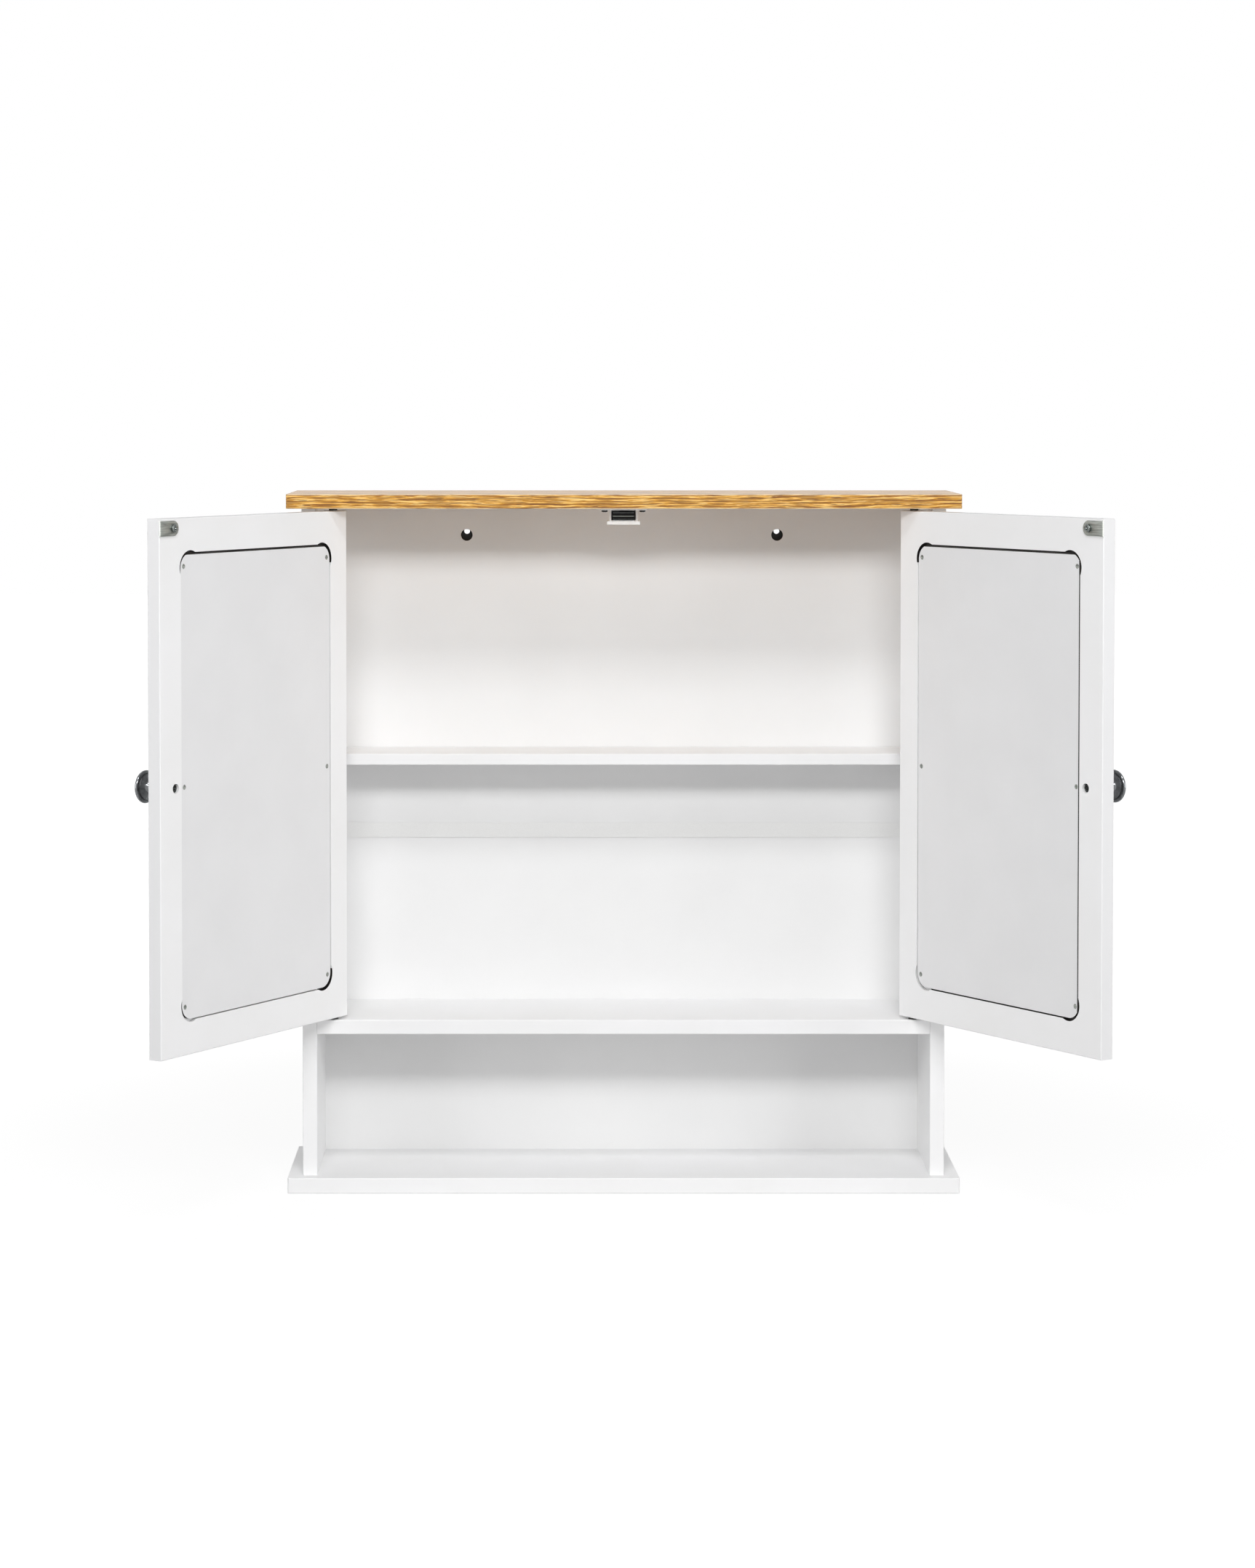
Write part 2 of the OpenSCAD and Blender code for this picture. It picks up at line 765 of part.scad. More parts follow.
// The bevelled opening in front of the mirror, cut from the front face inward
module sight_opening() {
    lip = mirror_seat_y - front_y;
    x0 = door_x0 + sight_margin;
    x1 = door_x1 - sight_margin;
    z0 = door_z + sight_margin;
    z1 = door_z + door_h - sight_margin;
    b = sight_bevel;
    along_y(front_y - over, lip + 2 * over) door_inset(sight_margin, sight_margin, sight_margin, sight_r);
    for (x = [x0 + sight_r, x1 - sight_r], z = [z0 + sight_r, z1 - sight_r]) {
        translate([x, front_y, z]) rotate(to_back) cylinder(r1 = sight_r + b, r2 = sight_r, h = b);
    }
    along_x(x0 + sight_r, x1 - x0 - 2 * sight_r) {
        polygon([[front_y, z0 - b], [front_y + b, z0], [front_y + b, z1], [front_y, z1 + b]]);
    }
    translate([0, 0, z0 + sight_r]) linear_extrude(z1 - z0 - 2 * sight_r) {
        polygon([[x0 - b, front_y], [x0, front_y + b], [x1, front_y + b], [x1 + b, front_y]]);
    }
}

// The six screw places of a backing panel, as X and Z
backing_x = [door_x0 + backing_hinge_side + screw_inset_x,
             door_x1 - backing_free_side - screw_inset_x];
backing_z = [door_z + backing_end + screw_inset_z, mid_z,
             door_z + door_h - backing_end - screw_inset_z];

module at_backing_screws() {
    for (x = backing_x, z = backing_z) translate([x, rear_y - backing_sink, z]) rotate(to_front) children();
}

// One routed board: stepped pockets behind, a bevelled opening in front, bores in its edges
module door_frame() {
    color("white") difference() {
        intersection() {
            along_x(door_x0, door_w) translate([front_y, door_z]) round_rect(door_t, door_h, edge_r);
            translate([door_x0, front_y, door_z]) linear_extrude(door_h) round_rect(door_w, door_t, edge_r);
        }
        along_y(backing_seat_y, door_t) backing_pocket();
        along_y(mirror_seat_y, mirror_t + over) {
            door_inset(mirror_margin, mirror_margin, mirror_margin, mirror_r);
        }
        sight_opening();
        at_backing_screws() cylinder(d = backing_screw_d, h = backing_screw_len + ease);
        rod([0, 0, door_z - over], up, pivot_d + slack, pivot_in + over);
        rod([0, 0, door_z + door_h + over], down, pivot_d + slack, pivot_in + over);
        rod([knob_x, front_y - over, mid_z], to_back, knob_screw_d + 2 * slack, door_t + 2 * over);
        rod([knob_x, rear_y + over, mid_z], to_front, counterbore_d, counterbore_h + over);
        rod([plate_hole_x, rear_y + over, plate_z + plate_w / 2], to_front, strike_screw_d + 2 * slack,
            strike_screw_len + over);
    }
}

module mirror_glass() {
    margin = mirror_margin + ease;
    color("lightsteelblue") along_y(mirror_seat_y, mirror_t) {
        door_inset(margin, margin, margin, mirror_r - ease);
    }
}

module backing() {
    color("gainsboro") difference() {
        along_y(backing_seat_y, backing_t) {
            door_inset(backing_hinge_side + backing_gap, backing_free_side + backing_gap,
                       backing_end + backing_end_gap, backing_r - backing_gap);
        }
        at_backing_screws() {
            hole = backing_screw_d + 2 * slack;
            translate([0, 0, -over]) cylinder(d = hole, h = backing_t + 2 * over);
            cylinder(d1 = backing_head_d + 2 * slack, d2 = hole, h = backing_head_h);
        }
    }
}

module backing_screws() {
    color("lightgray") at_backing_screws() {
        sunk_screw(backing_screw_d - slack, backing_screw_len, backing_head_d, backing_head_h);
    }
}

module pivot_pins() {
    color("silver") {
        rod([0, 0, door_z - pivot_out], up, pivot_d, pivot_len);
        rod([0, 0, door_z + door_h + pivot_out], down, pivot_d, pivot_len);
    }
}

// Half outline of the mushroom knob: foot, straight neck, cove, rim and dome
module knob_profile() {
    square([knob_foot_d / 2, knob_foot_h]);
    square([neck_d / 2, neck_len]);
    difference() {
        translate([0, neck_len]) square([knob_d / 2, cove_r]);
        translate([knob_d / 2, neck_len]) circle(cove_r - cove_lip, $fn = 96);
    }
    translate([0, rim_z]) square([knob_d / 2, rim_h]);
    intersection() {
        translate([0, rim_z + rim_h + dome_h - dome_r]) circle(dome_r, $fn = 192);
        translate([0, rim_z + rim_h]) square([knob_d / 2 + over, dome_h + over]);
    }
}

module knob() {
    color("dimgray") translate([knob_x, front_y, mid_z]) rotate(to_front) difference() {
        rotate_extrude($fn = 96) knob_profile();
        translate([0, 0, -over]) cylinder(d = knob_screw_d + 2 * slack, h = knob_thread + over);
    }
}

module knob_screw() {
    len = door_t - counterbore_h + knob_thread - ease;
    color("silver") translate([knob_x, rear_y - counterbore_h, mid_z]) rotate(to_front) {
        pan_screw(knob_screw_d, len, knob_head_d, knob_head_h);
    }
}

// A steel plate with a round inner end and a square end at the door's free edge
module strike_plate() {
    r = plate_w / 2;
    color("gray") translate([0, 0, plate_z]) along_y(rear_y, plate_t) difference() {
        union() {
            translate([plate_hole_x, 0]) square([plate_len - r, plate_w]);
            translate([plate_hole_x, r]) circle(r);
        }
        translate([plate_hole_x, r]) circle(d = strike_hole_d);
    }
}

module strike_screw() {
    color("gray") translate([plate_hole_x, rear_y + plate_t, plate_z + plate_w / 2]) rotate(to_front) {
        pan_screw(strike_screw_d, strike_screw_len, strike_head_d, strike_head_h);
    }
}

module left_door_frame() { hung(-1) door_frame(); }
module left_mirror() { hung(-1) mirror_glass(); }
module left_backing() { hung(-1) backing(); }
module left_backing_screws() { hung(-1) backing_screws(); }
module left_pivot_pins() { hung(-1) pivot_pins(); }
module left_knob() { hung(-1) knob(); }
module left_knob_screw() { hung(-1) knob_screw(); }
module left_strike_plate() { hung(-1) strike_plate(); }
module left_strike_screw() { hung(-1) strike_screw(); }
module right_door_frame() { hung(1) door_frame(); }
module right_mirror() { hung(1) mirror_glass(); }
module right_backing() { hung(1) backing(); }
module right_backing_screws() { hung(1) backing_screws(); }
module right_pivot_pins() { hung(1) pivot_pins(); }
module right_knob() { hung(1) knob(); }
module right_knob_screw() { hung(1) knob_screw(); }
module right_strike_plate() { hung(1) strike_plate(); }
module right_strike_screw() { hung(1) strike_screw(); }

top_board();
base_board();
left_side();
right_side();
fixed_shelf();
middle_shelf();
shelf_pins();
upper_back_panel();
lower_back_panel();
back_joint_strip();
wall_brackets();
bracket_screws();
cam_locks();
cam_bolts();
dowels();
base_screws();
pivot_bushes();
catch_housing();
catch_magnet();
catch_pole_plates();
catch_screws();
left_door_frame();
left_mirror();
left_backing();
left_backing_screws();
left_pivot_pins();
left_knob();
left_knob_screw();
left_strike_plate();
left_strike_screw();
right_door_frame();
right_mirror();
right_backing();
right_backing_screws();
right_pivot_pins();
right_knob();
right_knob_screw();
right_strike_plate();
right_strike_screw();
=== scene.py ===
# %% [markdown]
# # A mirrored wall cabinet, dressed for the picture
# The construction model is already right in size and place, so it comes in as a fixed frame and
# nothing in it is moved. This notebook gives each of its pieces a finish, swaps the small turned
# and stamped fittings for finer surfaces, and sets up the camera and the studio. All lengths in
# the code are in metres once they reach Blender; the sizes of the fittings are written in
# millimetres, as a maker would give them, and are turned to metres last.

# %% Load the frame
import json
import math
import bmesh
import bpy
import numpy as np
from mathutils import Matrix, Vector

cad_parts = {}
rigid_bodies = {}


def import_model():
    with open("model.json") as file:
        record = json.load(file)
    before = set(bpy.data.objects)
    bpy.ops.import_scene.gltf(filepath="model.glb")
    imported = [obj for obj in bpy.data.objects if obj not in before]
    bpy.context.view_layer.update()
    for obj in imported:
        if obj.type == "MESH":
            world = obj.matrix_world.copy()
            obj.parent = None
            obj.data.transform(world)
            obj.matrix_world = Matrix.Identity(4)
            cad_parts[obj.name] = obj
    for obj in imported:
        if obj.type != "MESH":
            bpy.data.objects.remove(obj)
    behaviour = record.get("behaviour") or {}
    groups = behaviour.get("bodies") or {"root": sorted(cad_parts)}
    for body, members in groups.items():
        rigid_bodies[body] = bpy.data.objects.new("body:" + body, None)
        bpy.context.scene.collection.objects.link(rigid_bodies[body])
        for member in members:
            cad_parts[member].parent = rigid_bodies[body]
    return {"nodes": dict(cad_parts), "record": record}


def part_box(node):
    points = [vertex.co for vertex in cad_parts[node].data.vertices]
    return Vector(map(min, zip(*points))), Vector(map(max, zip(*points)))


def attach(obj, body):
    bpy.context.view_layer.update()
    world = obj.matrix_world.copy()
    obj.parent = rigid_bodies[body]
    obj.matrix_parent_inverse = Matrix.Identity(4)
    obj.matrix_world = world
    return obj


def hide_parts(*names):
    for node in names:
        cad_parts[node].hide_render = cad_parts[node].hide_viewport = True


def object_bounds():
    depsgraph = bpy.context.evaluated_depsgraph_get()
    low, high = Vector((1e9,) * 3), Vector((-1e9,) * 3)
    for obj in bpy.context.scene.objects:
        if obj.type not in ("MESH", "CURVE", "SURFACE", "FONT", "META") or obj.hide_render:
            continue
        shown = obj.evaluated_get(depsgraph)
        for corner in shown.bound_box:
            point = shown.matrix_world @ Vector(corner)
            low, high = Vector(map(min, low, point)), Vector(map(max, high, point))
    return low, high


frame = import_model()
nodes = frame["nodes"]
cad_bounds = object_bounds()
print("construction nodes:", len(nodes))

# %% [markdown]
# ## Camera
# A product picture of furniture is taken from far away with a long lens, so that uprights stay
# upright. The camera here stands 3.1 m in front, a little left of the middle and a little above
# the top board, and looks down by two degrees. The rest of the framing is lens shift, which
# slides the picture without turning the uprights.

# %% Camera
picture_w, picture_h = 1725, 2156
focal_px = 5028.1
sensor_mm = 36.0
camera_place = (-0.0455, -3.1455, 0.1162)
look_down_deg = 2.0
shift_right, shift_up = 0.0374, -0.1661

camera_data = bpy.data.cameras.new("camera")
camera_data.sensor_width = sensor_mm
camera_data.lens = focal_px / picture_h * sensor_mm
camera_data.shift_x = shift_right
camera_data.shift_y = shift_up
camera = bpy.data.objects.new("camera", camera_data)
camera.location = camera_place
camera.rotation_euler = (math.radians(90 - look_down_deg), 0, 0)
bpy.context.scene.collection.objects.link(camera)
bpy.context.scene.camera = camera
bpy.context.scene.view_settings.view_transform = "Standard"
print("lens mm:", round(camera_data.lens, 2), "picture:", picture_w, "x", picture_h)

# %% [markdown]
# ## Colours and nodes
# Paint charts and screens give colours as sRGB codes, but a renderer adds up light, so every
# colour is turned to linear light by one function. A second small function adds a shader node
# with its settings and its links, and all the finishes below are written with it. They all end
# alike, with a relief that bends the light on a Principled shader, so that end is a function too.

# %% Helpers for finishes
def linear(code):
    """Each sRGB channel over 0.04045 becomes ((c + 0.055) / 1.055) to the power 2.4.
    Darker ones are divided by 12.92."""
    channels = np.array([int(code[i:i + 2], 16) for i in (1, 3, 5)]) / 255
    light = np.where(channels > 0.04045, ((channels + 0.055) / 1.055) ** 2.4, channels / 12.92)
    return (*light.tolist(), 1.0)


def add(tree, kind, values=None, **settings):
    """Adds one node. A value that is a socket is linked, and so is a node, by its first output.
    Anything else is set on the node's own socket."""
    made = tree.nodes.new("ShaderNode" + kind)
    for key, value in settings.items():
        setattr(made, key, value)
    for key, value in (values or {}).items():
        if isinstance(value, bpy.types.Node):
            value = value.outputs[0]
        if isinstance(value, bpy.types.NodeSocket):
            tree.links.new(value, made.inputs[key])
        else:
            made.inputs[key].default_value = value
    return made


def blank_material(name):
    """An empty node tree under the finish's name."""
    made = bpy.data.materials.new(name)
    made.use_nodes = True
    made.node_tree.nodes.clear()
    return made, made.node_tree


def stops(ramp, *pairs, interpolation="LINEAR"):
    """Writes the stops of a colour ramp, each a place from 0 to 1 and an sRGB code."""
    band = ramp.color_ramp
    band.interpolation = interpolation
    while len(band.elements) > 1:
        band.elements.remove(band.elements[-1])
    for i, (place, code) in enumerate(pairs):
        element = band.elements[0] if i == 0 else band.elements.new(place)
        element.position = place
        element.color = linear(code)


def per_metre(size_mm):
    """Scale of a noise whose features are about size_mm across: one cell of noise is one unit of
    its scaled input."""
    return 1000.0 / size_mm


def surface(tree, relief, strength, depth_mm, sockets):
    """The end of a finish: a Principled shader with its sockets, and a relief depth_mm deep."""
    bump = add(tree, "Bump", {"Height": relief, "Strength": strength, "Distance": depth_mm / 1000})
    shader = add(tree, "BsdfPrincipled", {**sockets, "Normal": bump})
    add(tree, "OutputMaterial", {"Surface": shader})


print("white in linear light:", linear("#ffffff"), "and mid grey:", linear("#808080")[0])

# %% [markdown]
# ## World
# The picture has a pure white ground. A white world would light the cabinet from all sides and
# flatten it, so only the camera's own rays, and those that metal or glass sends on, find white.
# All the others find a weak grey fill, which keeps the deepest shadows open.

# %% World
def seen_directly(tree):
    """1 for a camera, glossy or transmission ray and 0 for the rest: the largest of the three."""
    path = add(tree, "LightPath")
    mark = path.outputs["Is Camera Ray"]
    for kind in ("Is Glossy Ray", "Is Transmission Ray"):
        mark = add(tree, "Math", {0: mark, 1: path.outputs[kind]}, operation="MAXIMUM")
    return mark


world_fill = 0.055
world = bpy.data.worlds.new("studio_world")
world.use_nodes = True
bpy.context.scene.world = world
tree = world.node_tree
tree.nodes.clear()
fill = add(tree, "Background", {"Color": (1, 1, 1, 1), "Strength": world_fill})
white = add(tree, "Background", {"Color": (1, 1, 1, 1), "Strength": 1.0})
both = add(tree, "MixShader", {0: seen_directly(tree), 1: fill, 2: white})
add(tree, "OutputWorld", {"Surface": both})
print("world fill:", world_fill)

# %% [markdown]
# ## Floor
# The floor is pale paper and lit like everything else. Most of what the camera sees of it is
# plain white, and past the reach of the shadow all of it is, so only a faint shadow of the
# cabinet stays. The share of white follows the distance from the origin, across the floor alone.

# %% Floor
floor_gap = 0.0002
floor_z = cad_bounds[0][2] - floor_gap
floor_half = 9.0
paper_tint = "#cfcfcf"
shown_white = 0.84
white_strength = 1.10
shadow_reach = (0.45, 1.1)

floor_mesh = bpy.data.meshes.new("floor")
corners = np.array([[-1, -1], [1, -1], [1, 1], [-1, 1]]) * floor_half
floor_mesh.from_pydata([(*c, floor_z) for c in corners.tolist()], [], [(0, 1, 2, 3)])
floor = bpy.data.objects.new("floor", floor_mesh)
bpy.context.scene.collection.objects.link(floor)
paper, tree = blank_material("matt_background_paper")
place = add(tree, "TexCoord").outputs["Object"]
flat = add(tree, "Mapping", {"Vector": place, "Scale": (1.0, 1.0, 0.0)})
away = add(tree, "VectorMath", {0: flat}, operation="LENGTH")
whiteness = add(tree, "MapRange", {"Value": away.outputs["Value"], "From Min": shadow_reach[0],
                                   "From Max": shadow_reach[1], "To Min": shown_white,
                                   "To Max": 1.0}, interpolation_type="SMOOTHSTEP")
share = add(tree, "Math", {0: seen_directly(tree), 1: whiteness}, operation="MULTIPLY")
lit = add(tree, "BsdfDiffuse", {"Color": linear(paper_tint)})
plain = add(tree, "Emission", {"Color": (1, 1, 1, 1), "Strength": white_strength})
both = add(tree, "MixShader", {0: share, 1: lit, 2: plain})
add(tree, "OutputMaterial", {"Surface": both})
floor_mesh.materials.append(paper)
print("floor at", round(floor_z, 4))

# %% [markdown]
# ## Lamps
# The shadow under each shelf is even at first and then fades over 20 mm, which is what a long, low
# strip lamp in front and above would throw: the two ends of the fade give the heights of its lower
# and upper edge, and a weaker strip in its lower half shapes the fade. Two wide lamps at the sides
# light the open doors, the right one more, and one high up lights the tops of the shelves. A lamp
# behind is for the views of the back, and its glare is kept off the tops.

# %% Lamps
# name, place of the middle, width, height and power in watts; all face the middle of the cabinet
lamps = [
    ("key_strip", (0.00, -2.50, 1.02), 1.60, 0.40, 24.4),
    ("low_strip", (0.00, -2.50, 0.86), 1.60, 0.24, 6.6),
    ("overhead", (0.00, -2.60, 3.00), 1.20, 0.60, 49.0),
    ("left_side", (-3.00, -2.00, 0.20), 1.60, 1.60, 30.0),
    ("right_side", (3.00, -2.00, 0.20), 1.60, 1.60, 41.0),
    ("behind", (0.00, 3.00, 0.90), 2.40, 1.60, 46.0),
]
aim = Vector((0.0, -0.06, -0.25))
for name, place, wide, tall, watts in lamps:
    data = bpy.data.lights.new(name, "AREA")
    data.shape = "RECTANGLE"
    data.size = wide
    data.size_y = tall
    data.energy = watts
    lamp = bpy.data.objects.new(name, data)
    lamp.location = place
    lamp.rotation_euler = (aim - Vector(place)).to_track_quat("-Z", "Y").to_euler()
    lamp.visible_camera = False
    lamp.visible_glossy = name != "behind"
    bpy.context.scene.collection.objects.link(lamp)
print("lamps:", [row[0] for row in lamps])

# %% [markdown]
# ## Hanging things on the doors
# A door is easiest to draw closed, about its own hinge pin, with X towards the free edge. The
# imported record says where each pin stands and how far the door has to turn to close, which is
# also how far it stands open at rest, so one pair of functions goes from the drawing to the
# room and back. Going back gives the places and sizes of a construction node in the drawing.

# %% Door coordinates
pins = {joint["child"]: joint for joint in frame["record"]["behaviour"]["joints"]}
hands = {-1: "left", 1: "right"}


def pin_and_turn(side):
    """The pin's place, and the angle from closed to open. The right door turns the positive way
    and the left one the negative way."""
    joint = pins[hands[side] + "_door"]
    return np.array(joint["pos_m"]), math.radians(-side * joint["range_deg"][0])


def hang(points_mm, side):
    """Mirrors X for the right door, turns about Z by the opening angle, and adds the pin's place
    in X and Y."""
    pin, turn = pin_and_turn(side)
    x, y, z = np.moveaxis(np.asarray(points_mm) / 1000 * [-side, 1, 1], -1, 0)
    cos, sin = math.cos(turn), math.sin(turn)
    return np.stack([pin[0] + cos * x - sin * y, pin[1] + sin * x + cos * y, z], -1)


def points_of(node):
    """A construction node's corner points in metres, one row each."""
    mesh = nodes[node].data
    points = np.empty(len(mesh.vertices) * 3)
    mesh.vertices.foreach_get("co", points)
    return points.reshape(-1, 3)


def drawn(part, side):
    """A door's node in its drawing, in mm: the steps of hang taken back."""
    pin, turn = pin_and_turn(side)
    x, y, z = (points_of(hands[side] + "_" + part) - [pin[0], pin[1], 0]).T
    cos, sin = math.cos(turn), math.sin(turn)
    return np.stack([(cos * x + sin * y) * -side, cos * y - sin * x, z], -1) * 1000


for side, hand in hands.items():
    board = drawn("door_frame", side)
    print(hand, "door frame in mm from", board.min(0).round(2), "to", board.max(0).round(2))

# %% [markdown]
# ## Places on a door
# Some finishes change from place to place on a door: at its cut edges, inside the pocket for the
# backing panel, along the torn rim of that panel. A texture can't tell these apart, but the place
# itself can. It is turned back into the door's drawing, where each region is a box, and a point
# lies in a box when it is beyond none of its three half sizes.

# %% Places on a door
def in_door(tree, place, side):
    """A door's drawing in metres, still mirrored for the right door: the place less the pin,
    turned back by the opening angle."""
    pin, turn = pin_and_turn(side)
    return add(tree, "Mapping", {"Vector": place, "Location": (pin[0], pin[1], 0.0),
                                 "Rotation": (0.0, 0.0, turn)}, vector_type="TEXTURE")


def beyond_box(tree, place, side, low, high):
    """How far a place lies beyond a box of the door's drawing, along each axis: its distance from
    the middle less the half size."""
    middle, half = (low + high) / 2 * (-side, 1, 1), (high - low) / 2
    away = add(tree, "VectorMath", {0: in_door(tree, place, side), 1: middle}, operation="SUBTRACT")
    size = add(tree, "VectorMath", {0: away}, operation="ABSOLUTE")
    beyond = add(tree, "VectorMath", {0: size, 1: half}, operation="SUBTRACT")
    return add(tree, "SeparateXYZ", {0: beyond}).outputs


for side, hand in hands.items():
    pin, turn = pin_and_turn(side)
    print(hand, "pin at", pin.round(4), "and open by", round(math.degrees(turn), 1), "degrees")

# %% [markdown]
# ## Bare fibreboard
# Where no paint or paper covers it, the board shows its own fibres. They are pressed in every
# direction, so a plain noise as fine as a fibre does, with a slow one over it for the clouds that
# the press leaves. The fibres are a third of a millimetre across and are drawn at 0.7 mm.

# %% Bare fibreboard
fibre_mm, cloud_mm = 0.7, 25
# painted shade: these near black pocket colours stand for the shade in the gaps of the doors
pocket_shade, pocket_shade_paler = "#12100e", "#1d1916"
sheet_fibre, sheet_fibre_worn = "#7a583c", "#8f6a49"


def bare_board(tree, place, code, code_worn):
    """A colour between two stops: six tenths of a fine noise added to a coarse one."""
    fibre = add(tree, "TexNoise", {"Vector": place, "Scale": per_metre(fibre_mm), "Detail": 3.0})
    cloud = add(tree, "TexNoise", {"Vector": place, "Scale": per_metre(cloud_mm), "Detail": 3.0})
    both = add(tree, "Math", {0: fibre, 1: 0.6, 2: cloud}, operation="MULTIPLY_ADD")
    tone = add(tree, "ValToRGB", {"Fac": both})
    stops(tone, (0.6, code), (1.0, code_worn))
    return tone


print("fibres drawn at", fibre_mm, "mm in clouds of", cloud_mm, "mm")

# %% [markdown]
# ## Painted shade in the pockets
# The gap between a door's frame and its backing panel lies in shade, and that shade is painted
# into the pocket as a near black with the grain of bare fibreboard. On both doors that is the
# upper end. At the lower end it is the hinge corner alone on the left door, and all but that
# corner on the right one. On the right door the free side is painted dark too.

# %% Painted shade in the pockets
shaded_free_side = 1
pocket_end_mm = 17  # as long as the rounded corners
room_low_mm, room_high_mm = (2.6, 0.3, 2.6), (2.6, 0.7, 2.6)  # between the panel and the box


def painted_pocket_shade(tree, place, side):
    """1 where shade is painted into the pocket: in a box a little larger than the backing panel,
    tested by the largest of the three distances beyond it, and there in the ends named above."""
    backing = drawn("backing", side)
    low, high = (backing.min(0) - room_low_mm) / 1000, (backing.max(0) + room_high_mm) / 1000
    beyond = beyond_box(tree, place, side, low, high)
    across = add(tree, "SeparateXYZ", {0: in_door(tree, place, side)}).outputs["X"]
    height = add(tree, "SeparateXYZ", {0: place}).outputs["Z"]
    furthest = add(tree, "Math", {0: beyond[0], 1: beyond[2]}, operation="MAXIMUM")
    furthest = add(tree, "Math", {0: furthest, 1: beyond[1]}, operation="MAXIMUM")
    inside = add(tree, "Math", {0: furthest, 1: 0.0}, operation="LESS_THAN")
    near_end = add(tree, "Math", {0: beyond[2], 1: -pocket_end_mm / 1000}, operation="GREATER_THAN")
    upper = add(tree, "Math", {0: height, 1: (low[2] + high[2]) / 2}, operation="GREATER_THAN")
    hinge_corner = -side * (low[0] + pocket_end_mm / 1000)
    kept = add(tree, "Math", {0: across, 1: hinge_corner}, operation="LESS_THAN")
    kept = add(tree, "Math", {0: upper, 1: kept}, operation="MAXIMUM")
    bare_and_painted_shade = add(tree, "Math", {0: near_end, 1: kept}, operation="MULTIPLY")
    if side == shaded_free_side:
        free = add(tree, "Math", {0: across, 1: -(low[0] + high[0]) / 2}, operation="LESS_THAN")
        bare_and_painted_shade = add(tree, "Math", {0: bare_and_painted_shade, 1: free}, operation="MAXIMUM")
    return add(tree, "Math", {0: inside, 1: bare_and_painted_shade}, operation="MULTIPLY")


print("pocket ends in mm:", pocket_end_mm)

# %% [markdown]
# ## Sprayed white paint
# The sides, base, shelves and door frames are fibreboard, sanded, primed and sprayed with a
# satin white lacquer. A sprayer leaves an orange peel, soft bumps 2 to 3 mm across, which only
# shows as a slight wobble in the sheen. The paint also soaks in a little unevenly, so its tone
# drifts by less than one part in a hundred. Both are noises on the object's own coordinates. The
# cut edges of the doors are painted a shade greyer than the faces, as painted shade.

# %% White board
peel_mm, drift_mm, edge_mm = 2.4, 90, 0.2
lacquer, lacquer_light, edge_shade_tone = "#eeeeee", "#f1f1f2", "#e2e2e3"


def shaded_door_edges(tree, place, side):
    """1 on the outer edges of a door frame, where their shade is painted: nearer to its outline
    than edge_mm, across X or Z.
    """
    board = drawn("door_frame", side) / 1000
    beyond = beyond_box(tree, place, side, board.min(0), board.max(0))
    rim = add(tree, "Math", {0: beyond[0], 1: beyond[2]}, operation="MAXIMUM")
    return add(tree, "Math", {0: rim, 1: -edge_mm / 1000}, operation="GREATER_THAN")


def sprayed(name, side=None):
    """White lacquer. On a door the cut edges are painted greyer and the pocket near black, both as
    painted shade.
    """
    made, tree = blank_material(name)
    place = add(tree, "TexCoord").outputs["Object"]
    peel = add(tree, "TexNoise", {"Vector": place, "Scale": per_metre(peel_mm), "Detail": 2.0,
                                  "Roughness": 0.4})
    drift = add(tree, "TexNoise", {"Vector": place, "Scale": per_metre(drift_mm), "Detail": 3.0})
    tone = add(tree, "ValToRGB", {"Fac": drift})
    stops(tone, (0.3, lacquer), (0.7, lacquer_light))
    colour = tone
    if side:
        fibres_and_painted_shade = bare_board(tree, place, pocket_shade, pocket_shade_paler)
        for share, other in ((shaded_door_edges(tree, place, side), linear(edge_shade_tone)),
                             (painted_pocket_shade(tree, place, side), fibres_and_painted_shade)):
            mix = add(tree, "Mix", {0: share, 6: colour, 7: other}, data_type="RGBA")
            colour = mix.outputs[2]
    gloss = add(tree, "MapRange", {"Value": drift, "To Min": 0.36, "To Max": 0.44})
    surface(tree, peel, 0.35, 0.06, {"Base Color": colour, "Roughness": gloss, "IOR": 1.48})
    return made


painted = sprayed("satin_lacquer_on_fibreboard")
painted_doors = {side: sprayed("satin_lacquer_on_" + hand + "_door", side)
                 for side, hand in hands.items()}
print("painted:", painted.name, [made.name for made in painted_doors.values()])

# %% [markdown]
# ## Faced hardboard
# The back panels are 3 mm hardboard with a thin printed white paper on the room side, and the
# panel that closes each door from behind has the same face in a cool pale grey. Paper follows
# the pressed fibres below it, so the surface is flatter than paint but has a very fine tooth,
# under a millimetre, drawn here at 0.8 mm so that it can still show, and its print has a faint
# speckle. The edges and the reverse are bare board, brown on the back panels. On the doors they
# are near black instead, painted shade for the gap round the panel. A sheet is thin, so a plane
# through it tells the face from the rest. On the doors a strip along the top of the face, and
# along the free side of the right panel, is painted the same near black as painted shade, which
# widens the dark gap there.

# %% Back boards and door backings
tooth_mm, speckle_mm, paper_mm = 0.8, 60, 0.1
gap_shade_top_mm, gap_shade_side_mm = 1.0, 1.7


